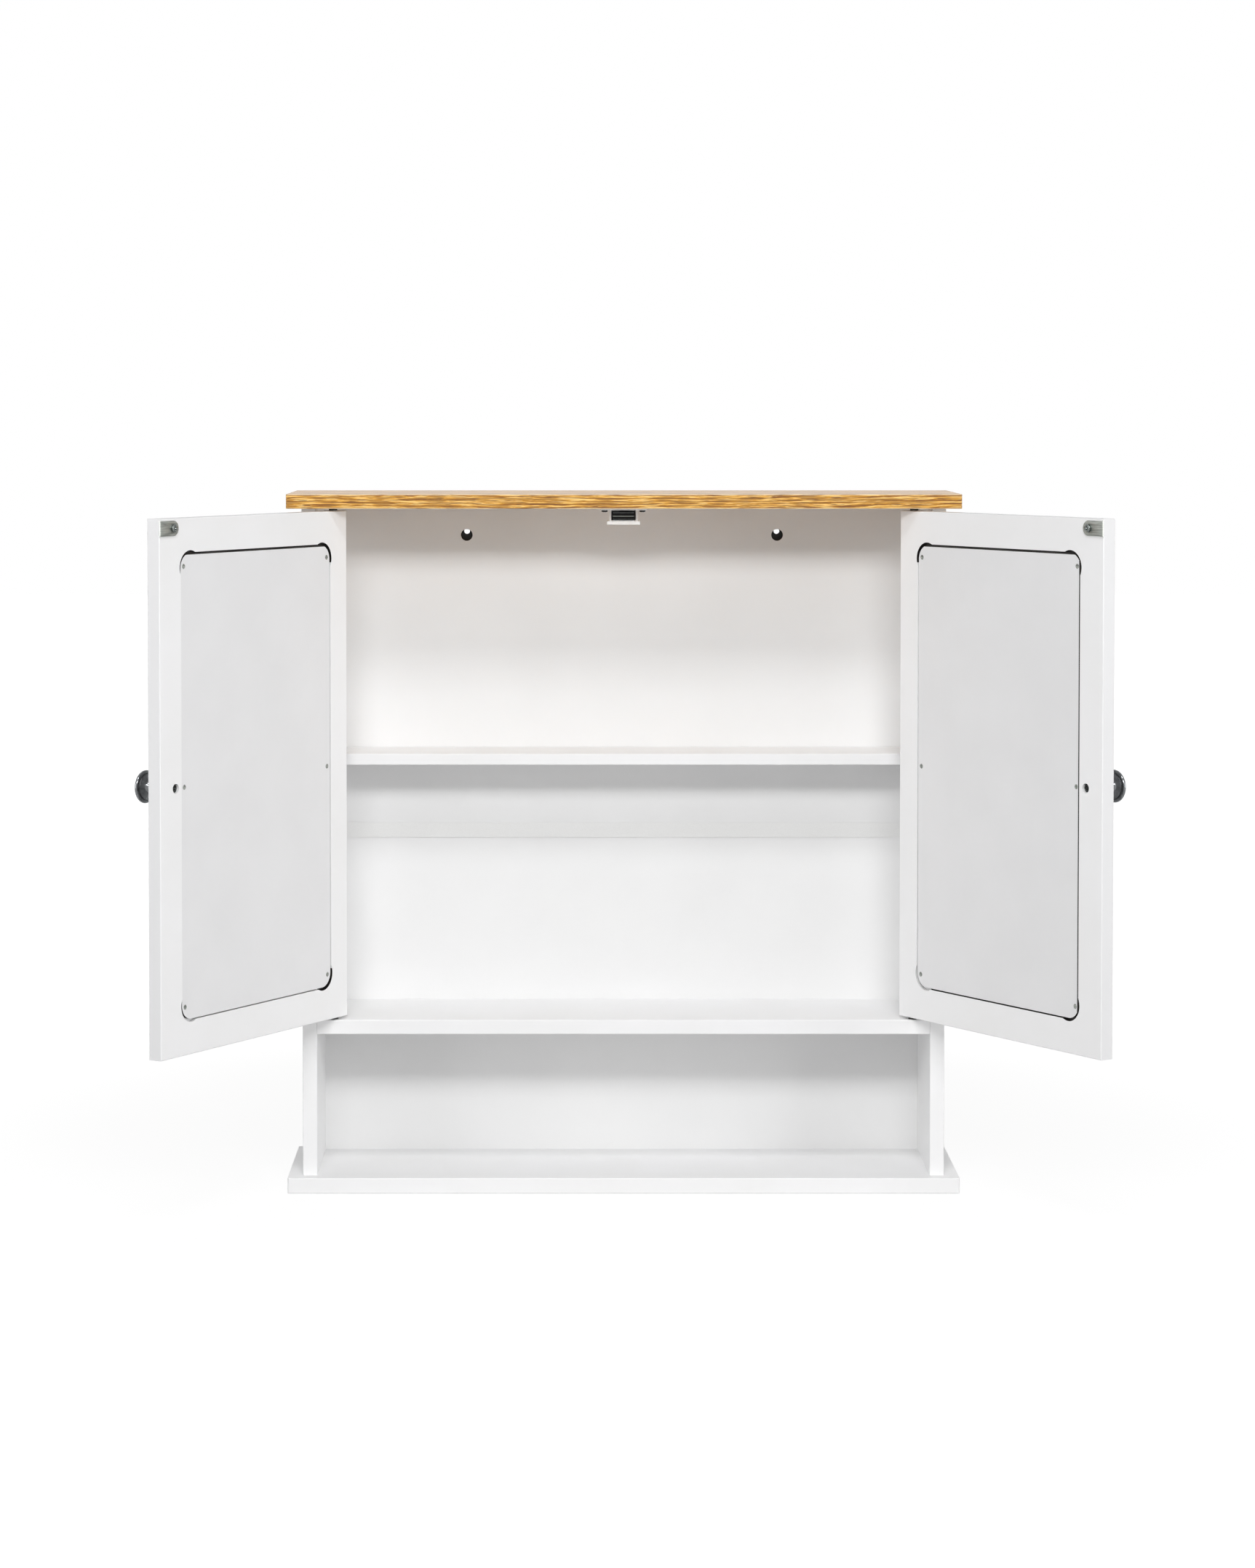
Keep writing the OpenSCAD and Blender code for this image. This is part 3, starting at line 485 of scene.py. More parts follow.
def painted_gap_shade(tree, place, side):
    """1 in the strips where the gap's shade is painted: above a height, and on the right panel
    also past its free side.
    """
    high = drawn("backing", side).max(0) / 1000
    height = add(tree, "SeparateXYZ", {0: place}).outputs["Z"]
    gap_shade_strips = add(tree, "Math", {0: height, 1: high[2] - gap_shade_top_mm / 1000}, operation="GREATER_THAN")
    if side == shaded_free_side:
        across = add(tree, "SeparateXYZ", {0: in_door(tree, place, side)}).outputs["X"]
        free_side = -high[0] + gap_shade_side_mm / 1000
        free = add(tree, "Math", {0: across, 1: free_side}, operation="LESS_THAN")
        gap_shade_strips = add(tree, "Math", {0: gap_shade_strips, 1: free}, operation="MAXIMUM")
    return gap_shade_strips


def faced_hardboard(name, code, code_worn, face_y, side=None):
    """Paper where the place is nearer than paper_mm to the face's plane across Y, and bare board
    elsewhere. On the doors that board colour is near black painted shade, and so are the strips."""
    made, tree = blank_material(name)
    place = add(tree, "TexCoord").outputs["Object"]
    tooth = add(tree, "TexNoise", {"Vector": place, "Scale": per_metre(tooth_mm), "Detail": 3.0})
    speckle = add(tree, "TexNoise", {"Vector": place, "Scale": per_metre(speckle_mm),
                                     "Detail": 3.0})
    both = add(tree, "Math", {0: tooth, 1: 0.35, 2: speckle}, operation="MULTIPLY_ADD")
    tone = add(tree, "ValToRGB", {"Fac": both})
    stops(tone, (0.5, code), (0.85, code_worn))
    at_rest = in_door(tree, place, side) if side else place
    level = add(tree, "SeparateXYZ", {0: at_rest}).outputs["Y"]
    depth = add(tree, "Math", {0: level, 1: face_y}, operation="SUBTRACT")
    depth = add(tree, "Math", {0: depth}, operation="ABSOLUTE")
    bare_and_painted_shade = add(tree, "Math", {0: depth, 1: paper_mm / 1000}, operation="GREATER_THAN")
    fibres_and_painted_shade = (pocket_shade, pocket_shade_paler) if side else (sheet_fibre, sheet_fibre_worn)
    reverse = bare_board(tree, place, *fibres_and_painted_shade)
    colour = add(tree, "Mix", {0: bare_and_painted_shade, 6: tone, 7: reverse}, data_type="RGBA")
    if side:
        gap_shade_strips = painted_gap_shade(tree, place, side)
        colour = add(tree, "Mix", {0: gap_shade_strips, 6: colour.outputs[2], 7: reverse}, data_type="RGBA")
    gloss = add(tree, "MapRange", {"Value": bare_and_painted_shade, "To Min": 0.52, "To Max": 0.75})
    surface(tree, tooth, 0.3, 0.04,
            {"Base Color": colour.outputs[2], "Roughness": gloss, "IOR": 1.46})
    return made


back_face_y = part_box("upper_back_panel")[0][1]
hardboard = faced_hardboard("paper_faced_hardboard", "#eeeeee", "#f0f0f0", back_face_y)
backings = {}
for side, hand in hands.items():
    panel_face_y = drawn("backing", side)[:, 1].max() / 1000
    backings[side] = faced_hardboard("grey_faced_hardboard_" + hand, "#e1e1e2", "#e4e4e5",
                                     panel_face_y, side)
print("back boards face the room at", round(back_face_y, 4))

# %% [markdown]
# ## Oak laminate
# The top board wears an oak foil. Oak is ring porous: each year's ring starts with a line of
# wide open pores that look like short dark dashes, then turns dense and pale. Sawn flat, the
# rings run as long arches. A ring is found by measuring how far a point lies from the axis of
# an imagined trunk under the board. The axis is tilted by a degree, which makes the arches. Two
# noises stretched along X push the point aside first, a slow one far and a finer one a little,
# which makes the rings sway and ripple.

# %% Oak rings
ring_mm = 2.5
sway_mm, sway_apart_mm = 20, 45
ripple_mm, ripple_apart_mm = 4.2, 9
trunk_place = (0.0, 0.060, 0.045)
trunk_tilt = (0.0, math.radians(1.6), math.radians(1.1))

oak, tree = blank_material("oak_foil_laminate")
place = add(tree, "TexCoord").outputs["Object"]
bent = place
for far_mm, apart_mm, along in ((sway_mm, sway_apart_mm, 0.09), (ripple_mm, ripple_apart_mm, 0.16)):
    long_way = add(tree, "Mapping", {"Vector": place, "Scale": (along, 1.0, 1.0)})
    push = add(tree, "TexNoise", {"Vector": long_way, "Scale": per_metre(apart_mm), "Detail": 2.0})
    far = (0.0, far_mm / 1000, far_mm / 1000)
    bent = add(tree, "VectorMath", {0: push.outputs["Color"], 1: far, 2: bent},
               operation="MULTIPLY_ADD")
trunk = add(tree, "Mapping", {"Vector": bent, "Location": trunk_place,
                              "Rotation": trunk_tilt, "Scale": (0.0, 1.0, 1.0)})
reach = add(tree, "VectorMath", {0: trunk}, operation="LENGTH")
years = add(tree, "Math", {0: reach.outputs["Value"], 1: per_metre(ring_mm)}, operation="MULTIPLY")
season = add(tree, "Math", {0: years}, operation="FRACT")
growth = add(tree, "ValToRGB", {"Fac": season})
stops(growth, (0.0, "#764000"), (0.14, "#965c02"), (0.32, "#c88f20"), (0.75, "#e9b75e"),
      (0.93, "#c98f22"), (1.0, "#8a5502"))
print("rings in mm:", ring_mm, "bent by up to", sway_mm + ripple_mm)

# %% [markdown]
# Between the rings run the wood's own fibres, a noise about a millimetre across and twenty times
# as long. The pores lie mostly in the first part of each ring: they show where a finer noise is
# high, and at the start of a ring it need not be quite so high.

# %% Oak fibres and pores
wood_fibre_mm, pore_mm = 1.15, 0.75
fibre_share, pore_share = 0.55, 0.7
streaks = add(tree, "Mapping", {"Vector": bent, "Scale": (0.05, 1.0, 1.0)})
fibre = add(tree, "TexNoise", {"Vector": streaks, "Scale": per_metre(wood_fibre_mm),
                               "Detail": 4.0, "Roughness": 0.6})
fibre_tone = add(tree, "ValToRGB", {"Fac": fibre})
stops(fibre_tone, (0.42, "#603200"), (0.48, "#9c6100"), (0.53, "#d69a2a"), (0.60, "#fbd88c"))
wood = add(tree, "Mix", {0: fibre_share, 6: growth, 7: fibre_tone}, data_type="RGBA")
dashes = add(tree, "Mapping", {"Vector": bent, "Scale": (0.045, 1.0, 1.0)})
pore = add(tree, "TexNoise", {"Vector": dashes, "Scale": per_metre(pore_mm), "Detail": 1.0})
early = add(tree, "MapRange", {"Value": season, "From Min": 0.0, "From Max": 0.45,
                               "To Min": 0.12, "To Max": 0.0})
openness = add(tree, "Math", {0: pore, 1: early}, operation="ADD")
pores = add(tree, "MapRange", {"Value": openness, "From Min": 0.60, "From Max": 0.68})
dark = add(tree, "Math", {0: pores, 1: pore_share}, operation="MULTIPLY")
colour = add(tree, "Mix", {0: dark, 6: wood.outputs[2], 7: linear("#633709")}, data_type="RGBA")
print("fibres in mm:", wood_fibre_mm, "pores in mm:", pore_mm)

# %% [markdown]
# Along the rounded edges, where the foil is folded over, a pale line is painted as a highlight
# on the rounding. The board's own top and bottom give the two heights of the folds, and the pale
# line is as wide as the rounding, under a millimetre, broken up by the same fibres. The foil is
# sealed with a matt varnish, a rough coat with a sheen that turns the top grey at a flat angle.

# %% Folded edges of the foil
fold_mm, fold_end_mm, edge_highlight_share = 0.9, 0.05, 0.75
(_, _, under_side), (_, _, upper_side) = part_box("top_board")
half_height = (upper_side - under_side) / 2
height = add(tree, "SeparateXYZ", {0: place}).outputs["Z"]
out = add(tree, "Math", {0: height, 1: (under_side + upper_side) / 2}, operation="SUBTRACT")
out = add(tree, "Math", {0: out}, operation="ABSOLUTE")
fold = add(tree, "MapRange", {"Value": out, "From Min": half_height - fold_mm / 1000,
                              "From Max": half_height - fold_mm / 3000})
highlight_breakup = add(tree, "MapRange", {"Value": fibre, "From Min": 0.35, "From Max": 0.5})
before_end = add(tree, "Math", {0: out, 1: half_height - fold_end_mm / 1000}, operation="LESS_THAN")
# painted highlight: a pale band on the rounding of both folded edges
painted_highlight = fold
for share in (highlight_breakup, before_end, edge_highlight_share):
    painted_highlight = add(tree, "Math", {0: painted_highlight, 1: share}, operation="MULTIPLY")
colour = add(tree, "Mix", {0: painted_highlight, 6: colour.outputs[2], 7: linear("#f6e3bd")}, data_type="RGBA")
sunk = add(tree, "Math", {0: 1.0, 1: pores}, operation="SUBTRACT")
surface(tree, sunk, 0.4, 0.08, {
    "Base Color": colour.outputs[2], "Roughness": 0.5, "IOR": 1.5, "Specular IOR Level": 0.3,
    "Coat Weight": 0.45, "Coat Roughness": 0.32, "Coat IOR": 1.5,
    "Sheen Weight": 0.2, "Sheen Roughness": 0.4})
print("folds at", round(under_side, 4), "and", round(upper_side, 4))

# %% [markdown]
# ## Metals
# The small fittings are bought in. Zinc plating on steel is a bluish grey with a soft, patchy
# sheen, and drawn strip keeps its lines below the plating. Two darker zincs, a blue grey and a near
# black one, are painted shade for fittings that sit in shade, and a die casting is paler and
# duller.
# Silvered glass is close to a perfect mirror with a slight green cast, so it is written as a metal
# with hardly a patch. One function makes them all, from a fine noise that moves tone, roughness and
# relief together, as a real patch would.

# %% Metals
def plated(name, code, code_worn, rough, patch_mm, depth_mm, drawn_out=1.0):
    """A metal whose tone and roughness drift in patches. A small drawn_out stretches them
    sideways into the lines of drawn strip."""
    made, tree = blank_material(name)
    place = add(tree, "TexCoord").outputs["Object"]
    along = add(tree, "Mapping", {"Vector": place, "Scale": (drawn_out, drawn_out, 1.0)})
    patch = add(tree, "TexNoise", {"Vector": along, "Scale": per_metre(patch_mm), "Detail": 4.0})
    tone = add(tree, "ValToRGB", {"Fac": patch})
    stops(tone, (0.35, code), (0.65, code_worn))
    gloss = add(tree, "MapRange", {"Value": patch, "To Min": rough * 0.8, "To Max": rough * 1.2})
    surface(tree, patch, 0.3, depth_mm, {"Base Color": tone, "Metallic": 1.0, "Roughness": gloss})
    return made


zinc = plated("zinc_plated_steel", "#898d88", "#adb0ab", 0.33, 1.0, 0.02, drawn_out=0.06)
# painted shade: these two zincs are darkened to stand for the shade on screws and pole plates
zinc_shade_mid = plated("zinc_half_darkened_as_painted_shade", "#5e6361", "#828785", 0.24, 0.8, 0.02)
zinc_shade_dark = plated("zinc_darkened_as_painted_shade", "#2a2c2b", "#4a4c4b", 0.26, 0.8, 0.02)
zinc_cast = plated("die_cast_zinc", "#a8a9a6", "#bdbebc", 0.42, 0.9, 0.03)
silvered = plated("silvered_glass", "#e5ebe8", "#e6ebe9", 0.015, 8.0, 0.0)
print("metals:", [made.name for made in (zinc, zinc_shade_mid, zinc_shade_dark, zinc_cast, silvered)])

# %% [markdown]
# ## Gunmetal
# The knobs are plated in a dark gunmetal tone and polished, so their turned rings throw thin
# bright lines. The sharp hollows are painted dull and near black, as painted shade for the shade
# and dark reflections in them. Each knob carries the share of that as its own attribute, worked
# out below with its shape. The polish leaves faint patches a few millimetres wide.

# %% Gunmetal of the knobs
polish_mm = 3.0
gunmetal, tree = blank_material("polished_gunmetal_plate")
place = add(tree, "TexCoord").outputs["Object"]
patch = add(tree, "TexNoise", {"Vector": place, "Scale": per_metre(polish_mm), "Detail": 4.0})
tone = add(tree, "ValToRGB", {"Fac": patch})
stops(tone, (0.35, "#6b6d6f"), (0.65, "#808284"))
# painted shade: near black and dull in the hollows, where shade and dark reflections fall
hollow_shade_share = add(tree, "Attribute", attribute_name="hollow_shade").outputs["Fac"]
colour = add(tree, "Mix", {0: hollow_shade_share, 6: tone, 7: linear("#0d0d0e")}, data_type="RGBA")
gloss = add(tree, "MapRange", {"Value": hollow_shade_share, "To Min": 0.17, "To Max": 0.5})
surface(tree, patch, 0.3, 0.005,
        {"Base Color": colour.outputs[2], "Metallic": 1.0, "Roughness": gloss})
print("knobs:", gunmetal.name)

# %% [markdown]
# ## Plastics, coating and beech
# The catch is moulded in white polypropylene, which takes a fine satin grain from its mould. The
# pivot bushes are black nylon, moulded too and duller. Powder coating on the wall brackets is
# slightly lumpy, and the planed beech of the dowels shows its rays as a coarser grain. All four
# are a dielectric with a grain of its own size, between half a millimetre and 1.5 mm.

# %% Plastics, coating and beech
def solid_colour(name, code, code_worn, rough, ior, grain_mm, depth_mm):
    """A dielectric whose tone drifts a little and whose skin has a fine grain."""
    made, tree = blank_material(name)
    place = add(tree, "TexCoord").outputs["Object"]
    grain = add(tree, "TexNoise", {"Vector": place, "Scale": per_metre(grain_mm), "Detail": 3.0})
    tone = add(tree, "ValToRGB", {"Fac": grain})
    stops(tone, (0.3, code), (0.7, code_worn))
    surface(tree, grain, 0.4, depth_mm, {"Base Color": tone, "Roughness": rough, "IOR": ior})
    return made


moulded_white = solid_colour("moulded_white_polypropylene", "#ececeb", "#f0f0ef",
                             0.35, 1.49, 0.7, 0.02)
nylon = solid_colour("black_nylon", "#0a0a0a", "#121212", 0.5, 1.53, 0.5, 0.02)
coated = solid_colour("black_powder_coated_steel", "#161616", "#222222", 0.5, 1.5, 0.6, 0.04)
beech = solid_colour("planed_beech", "#cba878", "#d9b98c", 0.55, 1.5, 1.5, 0.05)
print("other finishes:", [made.name for made in (moulded_white, nylon, coated, beech)])

# %% [markdown]
# ## Ferrite
# The magnet is a pressed and fired block of ferrite, a dull metallic grey in the middle of its
# face. The two bands beside the pole plates are painted near black, as painted shade of the gaps
# there. Heights on the block, from its own lowest and highest points, part the bands.

# %% Ferrite
grain_mm = 0.4
grey_band_from, grey_band_to = 0.34, 0.58
ferrite, tree = blank_material("sintered_ferrite")
place = add(tree, "TexCoord").outputs["Object"]
height = add(tree, "SeparateXYZ", {0: place}).outputs["Z"]
(_, _, magnet_low), (_, _, magnet_high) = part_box("catch_magnet")
band = add(tree, "MapRange", {"Value": height, "From Min": magnet_low, "From Max": magnet_high})
shares = add(tree, "ValToRGB", {"Fac": band})
# the near black stops are painted shade of the gaps beside the pole plates
stops(shares, (0.0, "#020202"), (grey_band_from, "#8f9693"), (grey_band_to, "#020202"),
      interpolation="CONSTANT")
grain = add(tree, "TexNoise", {"Vector": place, "Scale": per_metre(grain_mm), "Detail": 3.0})
surface(tree, grain, 0.4, 0.05,
        {"Base Color": shares, "Roughness": 0.6, "IOR": 1.6,
         "Specular IOR Level": 0.15})
print("magnet from", round(magnet_low, 4), "to", round(magnet_high, 4))

# %% [markdown]
# ## Finishes onto the construction nodes
# The imported record already says which material slot each node belongs to, so one table from
# slot to finish dresses every node. The door frames and their backings have one finish for each
# door, because their painted shade turns with the door. The screws of the knobs and the pole
# plates of the catch get a near black zinc, and the screws of the strike plates a darker blue grey
# one, both painted shade for the shade that these parts sit in.

# %% Dress the nodes
finishes = {
    "oak_top": oak, "white_board": painted, "back_board": hardboard, "mirror": silvered,
    "white_plastic": moulded_white, "black_nylon": nylon, "magnet": ferrite, "beech": beech,
    "zinc_steel": zinc, "zinc_casting": zinc_cast, "black_steel": coated, "knob_metal": gunmetal,
}
slot_of = {row["node"]: row["material_slot"] for row in frame["record"]["subparts"]}
finish_of = {name: finishes.get(slot) for name, slot in slot_of.items()}
for side, hand in hands.items():
    finish_of[hand + "_door_frame"] = painted_doors[side]
    finish_of[hand + "_backing"] = backings[side]
    # painted shade: knob screws darkened for their counterbores, strike screws for their recesses
    finish_of[hand + "_knob_screw"] = zinc_shade_dark
    finish_of[hand + "_strike_screw"] = zinc_shade_mid
# painted shade: the pole plates are darkened for the shade in the catch's window
finish_of["catch_pole_plates"] = zinc_shade_dark
for name, node in nodes.items():
    node.data.materials.clear()
    node.data.materials.append(finish_of[name])
print("dressed:", len(slot_of))

# %% [markdown]
# ## Shapes as rings
# Every small fitting is a stack of rings: a turned knob, a screw, a stamped plate and a moulded
# box can all be drawn that way. Each ring is a row of points, rows are joined by four-sided
# faces, and the two ends close on their own middles. Curves and modifiers could make them too,
# but rings worked out as whole arrays keep every seam closed and every size in sight.

# %% Rings into a piece
bodies = frame["record"]["behaviour"]["bodies"]
body_of = {node: body for body, members in bodies.items() for node in members}


def ring_faces(rows, cols, loop, start):
    """Point (i, j) joins (i, j+1), (i+1, j+1) and (i+1, j), with j counted round the ring, and i
    too where the rings form a loop. The ends close as fans on two more points, the last ones."""
    i, j = np.meshgrid(np.arange(rows if loop else rows - 1), np.arange(cols), indexing="ij")
    below, beside = (i + 1) % rows, (j + 1) % cols
    quads = np.stack([i * cols + j, i * cols + beside, below * cols + beside, below * cols + j], -1)
    faces = (quads.reshape(-1, 4) + start).tolist()
    if not loop:
        j = np.arange(cols)
        beside, last, middle = (j + 1) % cols, (rows - 1) * cols, np.full(cols, rows * cols)
        faces += (np.stack([middle, beside, j], -1) + start).tolist()
        faces += (np.stack([middle + 1, last + j, last + beside], -1) + start).tolist()
    return faces


def skin(node, stacks, crisp_deg=35.0, loop=False):
    """Joins stacks of rings, in metres, into one closed piece that stands for a node."""
    points, faces, start = [], [], 0
    for rings in stacks:
        rows, cols = rings.shape[:2]
        faces += ring_faces(rows, cols, loop, start)
        ends = np.empty((0, 3)) if loop else rings[[0, -1]].mean(1)
        points += [rings.reshape(-1, 3), ends]
        start += rows * cols + len(ends)
    name = node + "_fine"
    mesh = bpy.data.meshes.new(name)
    mesh.from_pydata(np.concatenate(points).tolist(), [], faces)
    shell = bmesh.new()
    shell.from_mesh(mesh)
    bmesh.ops.recalc_face_normals(shell, faces=shell.faces)
    shell.to_mesh(mesh)
    shell.free()
    mesh.shade_smooth()
    mesh.set_sharp_from_angle(angle=math.radians(crisp_deg))
    mesh.materials.append(finish_of[node])
    piece = bpy.data.objects.new(name, mesh)
    bpy.context.scene.collection.objects.link(piece)
    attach(piece, body_of[node])
    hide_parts(node)
    print(name, "faces:", len(faces))
    return piece


print("nodes on each body:", {body: len(members) for body, members in bodies.items()})

# %% [markdown]
# ## Knobs
# Each knob is turned from brass on a lathe and plated: a foot, a slim waist, a hollow flare up
# to a broad head, a round bead along the rim, and a ringed, slightly domed face. The tool leaves
# sharp hollows beside the bead, and shade is painted dark into them. The outline is a list of
# radius and height, smoothed between marks by a spline through the points and turned about the
# middle; the bore for the screw is part of it.

# %% Outline of a knob
def arc(middle, radius, start_deg, end_deg, count):
    """Points on a circle: middle plus radius times cosine and sine of the angle."""
    angle = np.radians(np.linspace(start_deg, end_deg, count))
    return np.stack([middle[0] + radius * np.cos(angle), middle[1] + radius * np.sin(angle)], -1)


def flow(marks, per_span):
    """Catmull-Rom spline: at each mark the curve runs parallel to the line between its two
    neighbours."""
    marks = np.asarray(marks, float)
    padded = np.concatenate([marks[:1], marks, marks[-1:]])
    t = np.linspace(0, 1, per_span, endpoint=False)[:, None]
    a, b, c, d = (padded[i:len(marks) - 1 + i, None] for i in range(4))
    curve = 0.5 * (2 * b + (c - a) * t + (2 * a - 5 * b + 4 * c - d) * t ** 2
                   + (3 * b - a - 3 * c + d) * t ** 3)
    return np.concatenate([curve.reshape(-1, 2), marks[-1:]])


outline = np.concatenate([
    [(0.3, 9.0), (2.05, 8.9), (2.1, 8.7), (2.1, 0.0), (6.3, 0.0)],
    flow([(6.42, 0.08), (6.5, 0.3), (6.5, 1.0), (6.3, 1.45), (5.9, 1.6)], 4),
    flow([(5.5, 1.75), (5.0, 2.2), (4.5, 3.4), (4.3, 5.2), (4.35, 7.2), (4.7, 9.2), (5.6, 11.4),
          (7.1, 13.3), (8.9, 14.7), (10.3, 15.5)], 8),
    [(10.45, 15.8), (10.55, 16.1)],
    arc((11.6, 17.6), 1.4, -118, 112, 22),
    [(10.75, 19.0), (10.5, 18.85), (10.2, 19.0)],
    flow([(10.0, 19.4), (9.7, 19.9), (9.2, 20.15), (8.7, 20.1), (8.45, 19.95)], 5),
    flow([(8.25, 20.0), (7.9, 20.5), (7.2, 21.3), (5.9, 22.2), (4.2, 23.0), (2.2, 23.5),
          (0.2, 23.6)], 8),
])
print("knob height mm:", outline[:, 1].max(), "width mm:", 2 * outline[:, 0].max())

# %% [markdown]
# The painted shade in the hollows falls with the distance from the nearest hollow, along a bell
# curve half a millimetre wide, and every point of a ring has the share of its place on the outline.

# %% Knobs
knob_sides = 128
hollow_shade_width_mm = 0.5
hollows = np.array([(5.4, 1.8), (10.45, 15.9), (10.5, 18.9), (8.4, 19.95)])
nearest = np.linalg.norm(outline[:, None] - hollows[None], axis=2).min(1)
hollow_shade = np.exp(-(nearest / hollow_shade_width_mm) ** 2)
for side, hand in hands.items():
    old = drawn("knob", side)
    middle, front = (old.min(0) + old.max(0)) / 2, old[:, 1].max()
    angle = np.linspace(0, 2 * math.pi, knob_sides, endpoint=False)
    radius, height = outline[:, :1], outline[:, 1:]
    rings = np.stack([middle[0] + radius * np.cos(angle), np.repeat(front - height, knob_sides, 1),
                      middle[2] + radius * np.sin(angle)], -1)
    piece = skin(hand + "_knob", [hang(rings, side)])
    shade = piece.data.attributes.new("hollow_shade", "FLOAT", "POINT")
    shares = np.concatenate([np.repeat(hollow_shade, knob_sides), hollow_shade[[0, -1]]])
    shade.data.foreach_set("value", shares)

# %% [markdown]
# ## Screws
# All the screws are steel, cold headed and rolled: a pan or a countersunk head with a cross
# recess, and a thread. The recess is a height field on the head: two crossed arms, deepest in
# the middle and rising to their tips. The thread is a ridge whose place along the screw moves by
# one pitch for each turn round it. Both are formulas on the same grid of height and angle.

# %% Screw shapes
screw_sides = 48
arm_reach, arm_half, recess_deep = 0.62, 0.13, 0.75  # shares of the head's radius and height


def arm(along, beside, reach, half):
    """One arm of the cross: 1 between its walls, sloping over half its width, times the square
    root of the share of its reach that is left."""
    wall = np.clip((1.35 * half - np.abs(beside)) / (0.5 * half), 0, 1)
    return wall * np.sqrt(np.clip(1 - np.abs(along) / reach, 0, 1))


def head_rows(head_r, head_h, shank_r, pan):
    """Radii and heights of a head: over its face and down its edge. A pan is domed by a square of
    the radius and round at the rim, and a sunk head is flat with a cone below."""
    across = np.linspace(0.03, 0.86, 15) * head_r
    if not pan:
        edge = [(0.93 * head_r, 0.0), (0.99 * head_r, 0.03), (head_r, 0.10), (shank_r, head_h)]
        return across, np.zeros(len(across)), np.array(edge)
    face = -head_h * (1 - 0.28 * (across / head_r) ** 2)
    rim = arc((0.8 * head_r, face[-1] + 0.2 * head_r), 0.2 * head_r, -60, 0, 5)
    foot = [(head_r, -0.12), (head_r * 0.97, 0.0), (shank_r, 0.0)]
    return across, face, np.concatenate([rim, foot])


def screw(head_r, head_h, shank_r, length, pitch, pan):
    """Rings in mm about +Z, tip up, with a sunk head's face or a pan head's underside at z = 0.
    The shank's radius is a core and a ridge that peaks where height over pitch less the share of
    a turn is whole."""
    angle = np.linspace(0, 2 * math.pi, screw_sides, endpoint=False)
    across, face, edge = head_rows(head_r, head_h, shank_r, pan)
    u, v = across[:, None] * np.cos(angle), across[:, None] * np.sin(angle)
    reach, half = arm_reach * head_r, arm_half * head_r
    recess = recess_deep * head_h * np.maximum(arm(u, v, reach, half), arm(v, u, reach, half))
    turns = np.arange(edge[-1, 1] + 0.05, length - 0.02, pitch / 6)[:, None]
    ridge = 2 * np.abs((turns / pitch - angle / (2 * math.pi)) % 1 - 0.5)
    taper = np.clip((length - turns) / (1.6 * shank_r), 0.12, 1)
    level = np.ones(screw_sides)
    radius = np.concatenate([across[:, None] * level, edge[:, :1] * level,
                             shank_r * taper * (0.74 + 0.26 * ridge)])
    height = np.concatenate([face[:, None] + recess, edge[:, 1:] * level, turns * level])
    return np.stack([radius * np.cos(angle), radius * np.sin(angle), height], -1)


sample = screw(3.2, 1.8, 1.3, 8.0, 1.0, True)
print("a screw has", len(sample), "rings of", screw_sides, "points")

# %% [markdown]
# The sizes of the screws are a short table, and each stands where its construction node has it:
# the middles of the groups of the node's points give the places, and its outermost point the
# height. A pan head is proud of the surface that it holds by its own height, a sunk head by none.

# %% Screws
def middles(values_mm, apart_mm=3):
    """The middles of the groups into which values fall, where gaps over apart_mm part them."""
    order = np.unique(values_mm.round(2))
    groups = np.split(order, np.nonzero(np.diff(order) > apart_mm)[0] + 1)
    return [(group[0] + group[-1]) / 2 for group in groups]


# head radius, head height, shank radius, length and pitch in mm, and whether the head is a pan
door_screws = {
    "backing_screws": (1.9, 1.6, 1.15, 8.0, 0.9, False),
    "strike_screw": (3.2, 1.8, 1.3, 8.0, 1.0, True),
    "knob_screw": (3.5, 2.4, 2.0, 17.1, 0.7, True),
}
for side, hand in hands.items():
    for part, size in door_screws.items():
        _, head_h, _, _, _, pan = size
        old, rings = drawn(part, side), screw(*size)
        into = np.stack([rings[..., 0], -rings[..., 2], rings[..., 1]], -1)
        face = old[:, 1].max() - head_h * pan
        skin(hand + "_" + part, [hang(into + (x, face, z), side)
                                 for x in middles(old[:, 0]) for z in middles(old[:, 2])])

carcass_screws = {
    "catch_screws": (2.5, 1.8, 1.4, 9.0, 1.0, True),
    "bracket_screws": (2.5, 1.8, 1.4, 9.0, 1.0, True),
    "base_screws": (4.0, 3.0, 2.0, 38.0, 1.8, False),
}
for node, size in carcass_screws.items():
    _, head_h, _, _, _, pan = size
    old = points_of(node) * 1000
    face = old[:, 2].min() + head_h * pan
    skin(node, [(screw(*size) + (x, y, face)) / 1000
                for x in middles(old[:, 0]) for y in middles(old[:, 1])])

# %% [markdown]
# ## Strike plates
# The plates that the magnet holds are punched from steel strip, so one end is round, the other
# is cut square at the door's edge, and the punch has rolled the upper edge over a little. Seen
# from the screw hole, every outline point lies in its own direction, so the plate is a loop of
# rings: hole, underside, edge, face and back to the hole.

# %% Strike plates
plate_sides = 96
roll_mm = 0.3
hole_r = 1.8
hole_rim = [(0.3, 0.0), (0.1, 0.08), (0.0, 0.3)]  # beyond the hole, and below the face

